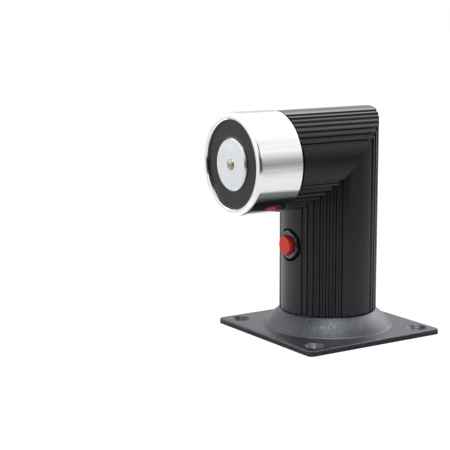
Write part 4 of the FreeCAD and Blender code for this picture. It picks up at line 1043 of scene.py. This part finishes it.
def make_world(stage):
    """White to the camera, a studio by direction to a gloss, and a plain level to all else."""
    world = bpy.data.worlds.new("Studio")
    world.use_nodes = True
    bpy.context.scene.world = world
    tree = world.node_tree
    sight = add_node(tree, "ShaderNodeTexCoord").outputs["Generated"]
    lit = scaled(tree, ROOM_TINT, studio_level(tree, sight, stage))
    studio = blend_colours(tree, unlit_corner(tree, sight), lit, UNLIT)
    path = add_node(tree, "ShaderNodeLightPath").outputs
    room = blend_colours(tree, path["Is Glossy Ray"], (stage.plain_level,) * 3, studio)
    seen = maths(tree, "MAXIMUM", path["Is Camera Ray"], path["Is Transmission Ray"])
    light = tree.nodes["Background"].inputs
    tree.links.new(blend_colours(tree, seen, room, (1, 1, 1)), light["Color"])
    light["Strength"].default_value = 1.0


def floor_in_gloss(tree, place):
    """The floor's painted glow as a gloss shows it, by place: a painted pool of light, a painted shadow
    at the base and a painted unlit corner.
    """
    along = vector_maths(tree, "DOT_PRODUCT", place, FAR_SIDE.direction)
    slope = maths(tree, "DIVIDE", SLOPE_UNIT, maths(tree, "MAXIMUM", along, SLOPE_UNIT))
    away = vector_maths(tree, "LENGTH", place)
    from_pool = vector_maths(tree, "DISTANCE", place, POOL_PLACE)
    # painted light: a pool of light and a shadow at the base, in the floor's glow
    pool = ramp(tree, from_pool, *POOL_EDGE, 1.0, POOL_LEVEL)
    shadow = ramp(tree, away, *SHADOW_EDGE, SHADOW_LEVEL, 1.0)
    painted_pool_and_shadow = maths(tree, "MULTIPLY", pool, shadow)
    tone = maths(tree, "MULTIPLY", ramp(tree, slope, *SLOPES, *SLOPE_LEVELS), painted_pool_and_shadow)
    grey = add_node(tree, "ShaderNodeCombineColor", {"Red": tone, "Green": tone, "Blue": tone})
    ahead = vector_maths(tree, "DOT_PRODUCT", vector_maths(tree, "NORMALIZE", place), DARK_SIDE)
    # painted shade: the unlit corner on the floor
    unlit = maths(tree, "MULTIPLY", ramp(tree, ahead, *DARK_EDGE), ramp(tree, away, *PAINTED_UNLIT_FLOOR))
    return blend_colours(tree, unlit, grey.outputs[0], UNLIT)


def mix_shaders(tree, factor, first, second):
    """Mix two shaders."""
    return add_node(tree, "ShaderNodeMixShader", {0: factor, 1: first, 2: second}).outputs[0]


def floor_finish():
    """Matt to light, near white to the camera, a painted glow with a painted pool of light and shadow to
    a gloss, and clear from below.
    """
    material = bpy.data.materials.new("Floor pale")
    material.use_nodes = True
    tree = material.node_tree
    tree.nodes.remove(tree.nodes["Principled BSDF"])
    path = add_node(tree, "ShaderNodeLightPath").outputs
    place = add_node(tree, "ShaderNodeTexCoord").outputs["Object"]
    matt = add_node(tree, "ShaderNodeBsdfDiffuse", {"Color": (0.8, 0.8, 0.8, 1)}).outputs[0]
    white = {"Color": (1, 1, 1, 1), "Strength": FLOOR_WHITE}
    white = add_node(tree, "ShaderNodeEmission", white).outputs[0]
    # to a gloss the floor glows with its painted pool of light and painted shadow
    painted_floor_glow = add_node(tree, "ShaderNodeEmission", {"Color": floor_in_gloss(tree, place)}).outputs[0]
    clear = add_node(tree, "ShaderNodeBsdfTransparent").outputs[0]
    below = add_node(tree, "ShaderNodeNewGeometry").outputs["Backfacing"]
    seen = maths(tree, "MULTIPLY", path["Is Camera Ray"], FLOOR_WHITE_SHARE)
    above = mix_shaders(tree, path["Is Glossy Ray"], mix_shaders(tree, seen, matt, white), painted_floor_glow)
    whole = mix_shaders(tree, below, above, clear)
    tree.links.new(whole, tree.nodes["Material Output"].inputs["Surface"])
    return material


def make_floor(stage):
    """A wide pale floor just under the base."""
    shape = bmesh.new()
    bmesh.ops.create_grid(shape, x_segments=1, y_segments=1, size=stage.floor_width / 2)
    bmesh.ops.translate(shape, verts=shape.verts, vec=(0, 0, -FLOOR_DROP))
    floor = add_object("floor", as_mesh(shape, "floor"))
    floor.data.materials.append(floor_finish())


def make_softbox(name, place, size, energy):
    """A soft square light that faces the middle of the object."""
    middle = sum(CAD_BOX, Vector()) / 2
    data = bpy.data.lights.new(name, "AREA")
    data.shape = "SQUARE"
    data.size = size
    data.energy = energy
    lamp = add_object(name, data)
    lamp.location = middle + Vector(place)
    lamp.rotation_mode = "QUATERNION"
    lamp.rotation_quaternion = Vector(place).to_track_quat("Z", "Y")


def make_camera(stage):
    """The camera at the photograph's viewing angle."""
    data = bpy.data.cameras.new("Camera")
    data.lens = stage.lens
    data.sensor_width = SENSOR_WIDTH
    data.sensor_fit = "HORIZONTAL"
    data.shift_x, data.shift_y = CAMERA_SHIFT
    turn, dip, tilt = (math.radians(angle) for angle in (CAMERA_TURN, CAMERA_DIP, CAMERA_TILT))
    back = Vector((math.sin(turn) * math.cos(dip), -math.cos(turn) * math.cos(dip), math.sin(dip)))
    right = Vector((math.cos(turn), math.sin(turn), 0))
    up = back.cross(right)
    tilted_right = right * math.cos(tilt) + up * math.sin(tilt)
    tilted_up = up * math.cos(tilt) - right * math.sin(tilt)
    facing = Matrix((tilted_right, tilted_up, back)).transposed().to_4x4()
    camera = add_object("Camera", data)
    camera.matrix_world = Matrix.Translation(CAMERA_PLACE) @ facing
    bpy.context.scene.camera = camera


class HOLDER_OT_stage(bpy.types.Operator):
    """Set up the floor, the studio light and the camera"""

    bl_idname = "door_holder.stage"
    bl_label = "Studio"

    def execute(self, context):
        _, _, stage = settings()
        make_camera(stage)
        make_world(stage)
        make_floor(stage)
        make_softbox("Softbox above", KEY_PLACE, KEY_SIZE, stage.key_power)
        make_softbox("Softbox left", SIDE_PLACE, SIDE_SIZE, stage.side_power)
        context.scene.view_settings.view_transform = "Standard"
        return {"FINISHED"}


OPERATORS = (
    HOLDER_OT_stage,
    HOLDER_OT_base,
    HOLDER_OT_housing,
    HOLDER_OT_magnet,
    HOLDER_OT_springs,
    HOLDER_OT_button,
    HOLDER_OT_screws,
    HOLDER_OT_inside,
)


class HOLDER_PT_panel(bpy.types.Panel):
    """Steps that dress the door holder"""

    bl_idname = "HOLDER_PT_panel"
    bl_label = "Door holder"
    bl_space_type = "VIEW_3D"
    bl_region_type = "UI"
    bl_category = "Door holder"

    def draw(self, context):
        column = self.layout.column()
        for operator in OPERATORS:
            column.operator(operator.bl_idname)
        for group in settings():
            for key in group.__annotations__:
                column.prop(group, key)


GROUPS = {
    "holder_colours": HolderColours,
    "holder_details": HolderDetails,
    "holder_stage": HolderStage,
}
CLASSES = (*GROUPS.values(), *OPERATORS, HOLDER_PT_panel)


def register():
    """Register the classes and put the settings on the scene."""
    for made in CLASSES:
        bpy.utils.register_class(made)
    for name, kind in GROUPS.items():
        setattr(bpy.types.Scene, name, PointerProperty(type=kind))


def unregister():
    """Take the settings and the classes away again."""
    for name in GROUPS:
        delattr(bpy.types.Scene, name)
    for made in reversed(CLASSES):
        bpy.utils.unregister_class(made)


def main():
    """Register the classes and run every step in order."""
    register()
    for operator in OPERATORS:
        group, step = operator.bl_idname.split(".")
        getattr(getattr(bpy.ops, group), step)()


if __name__ == "__main__":
    main()
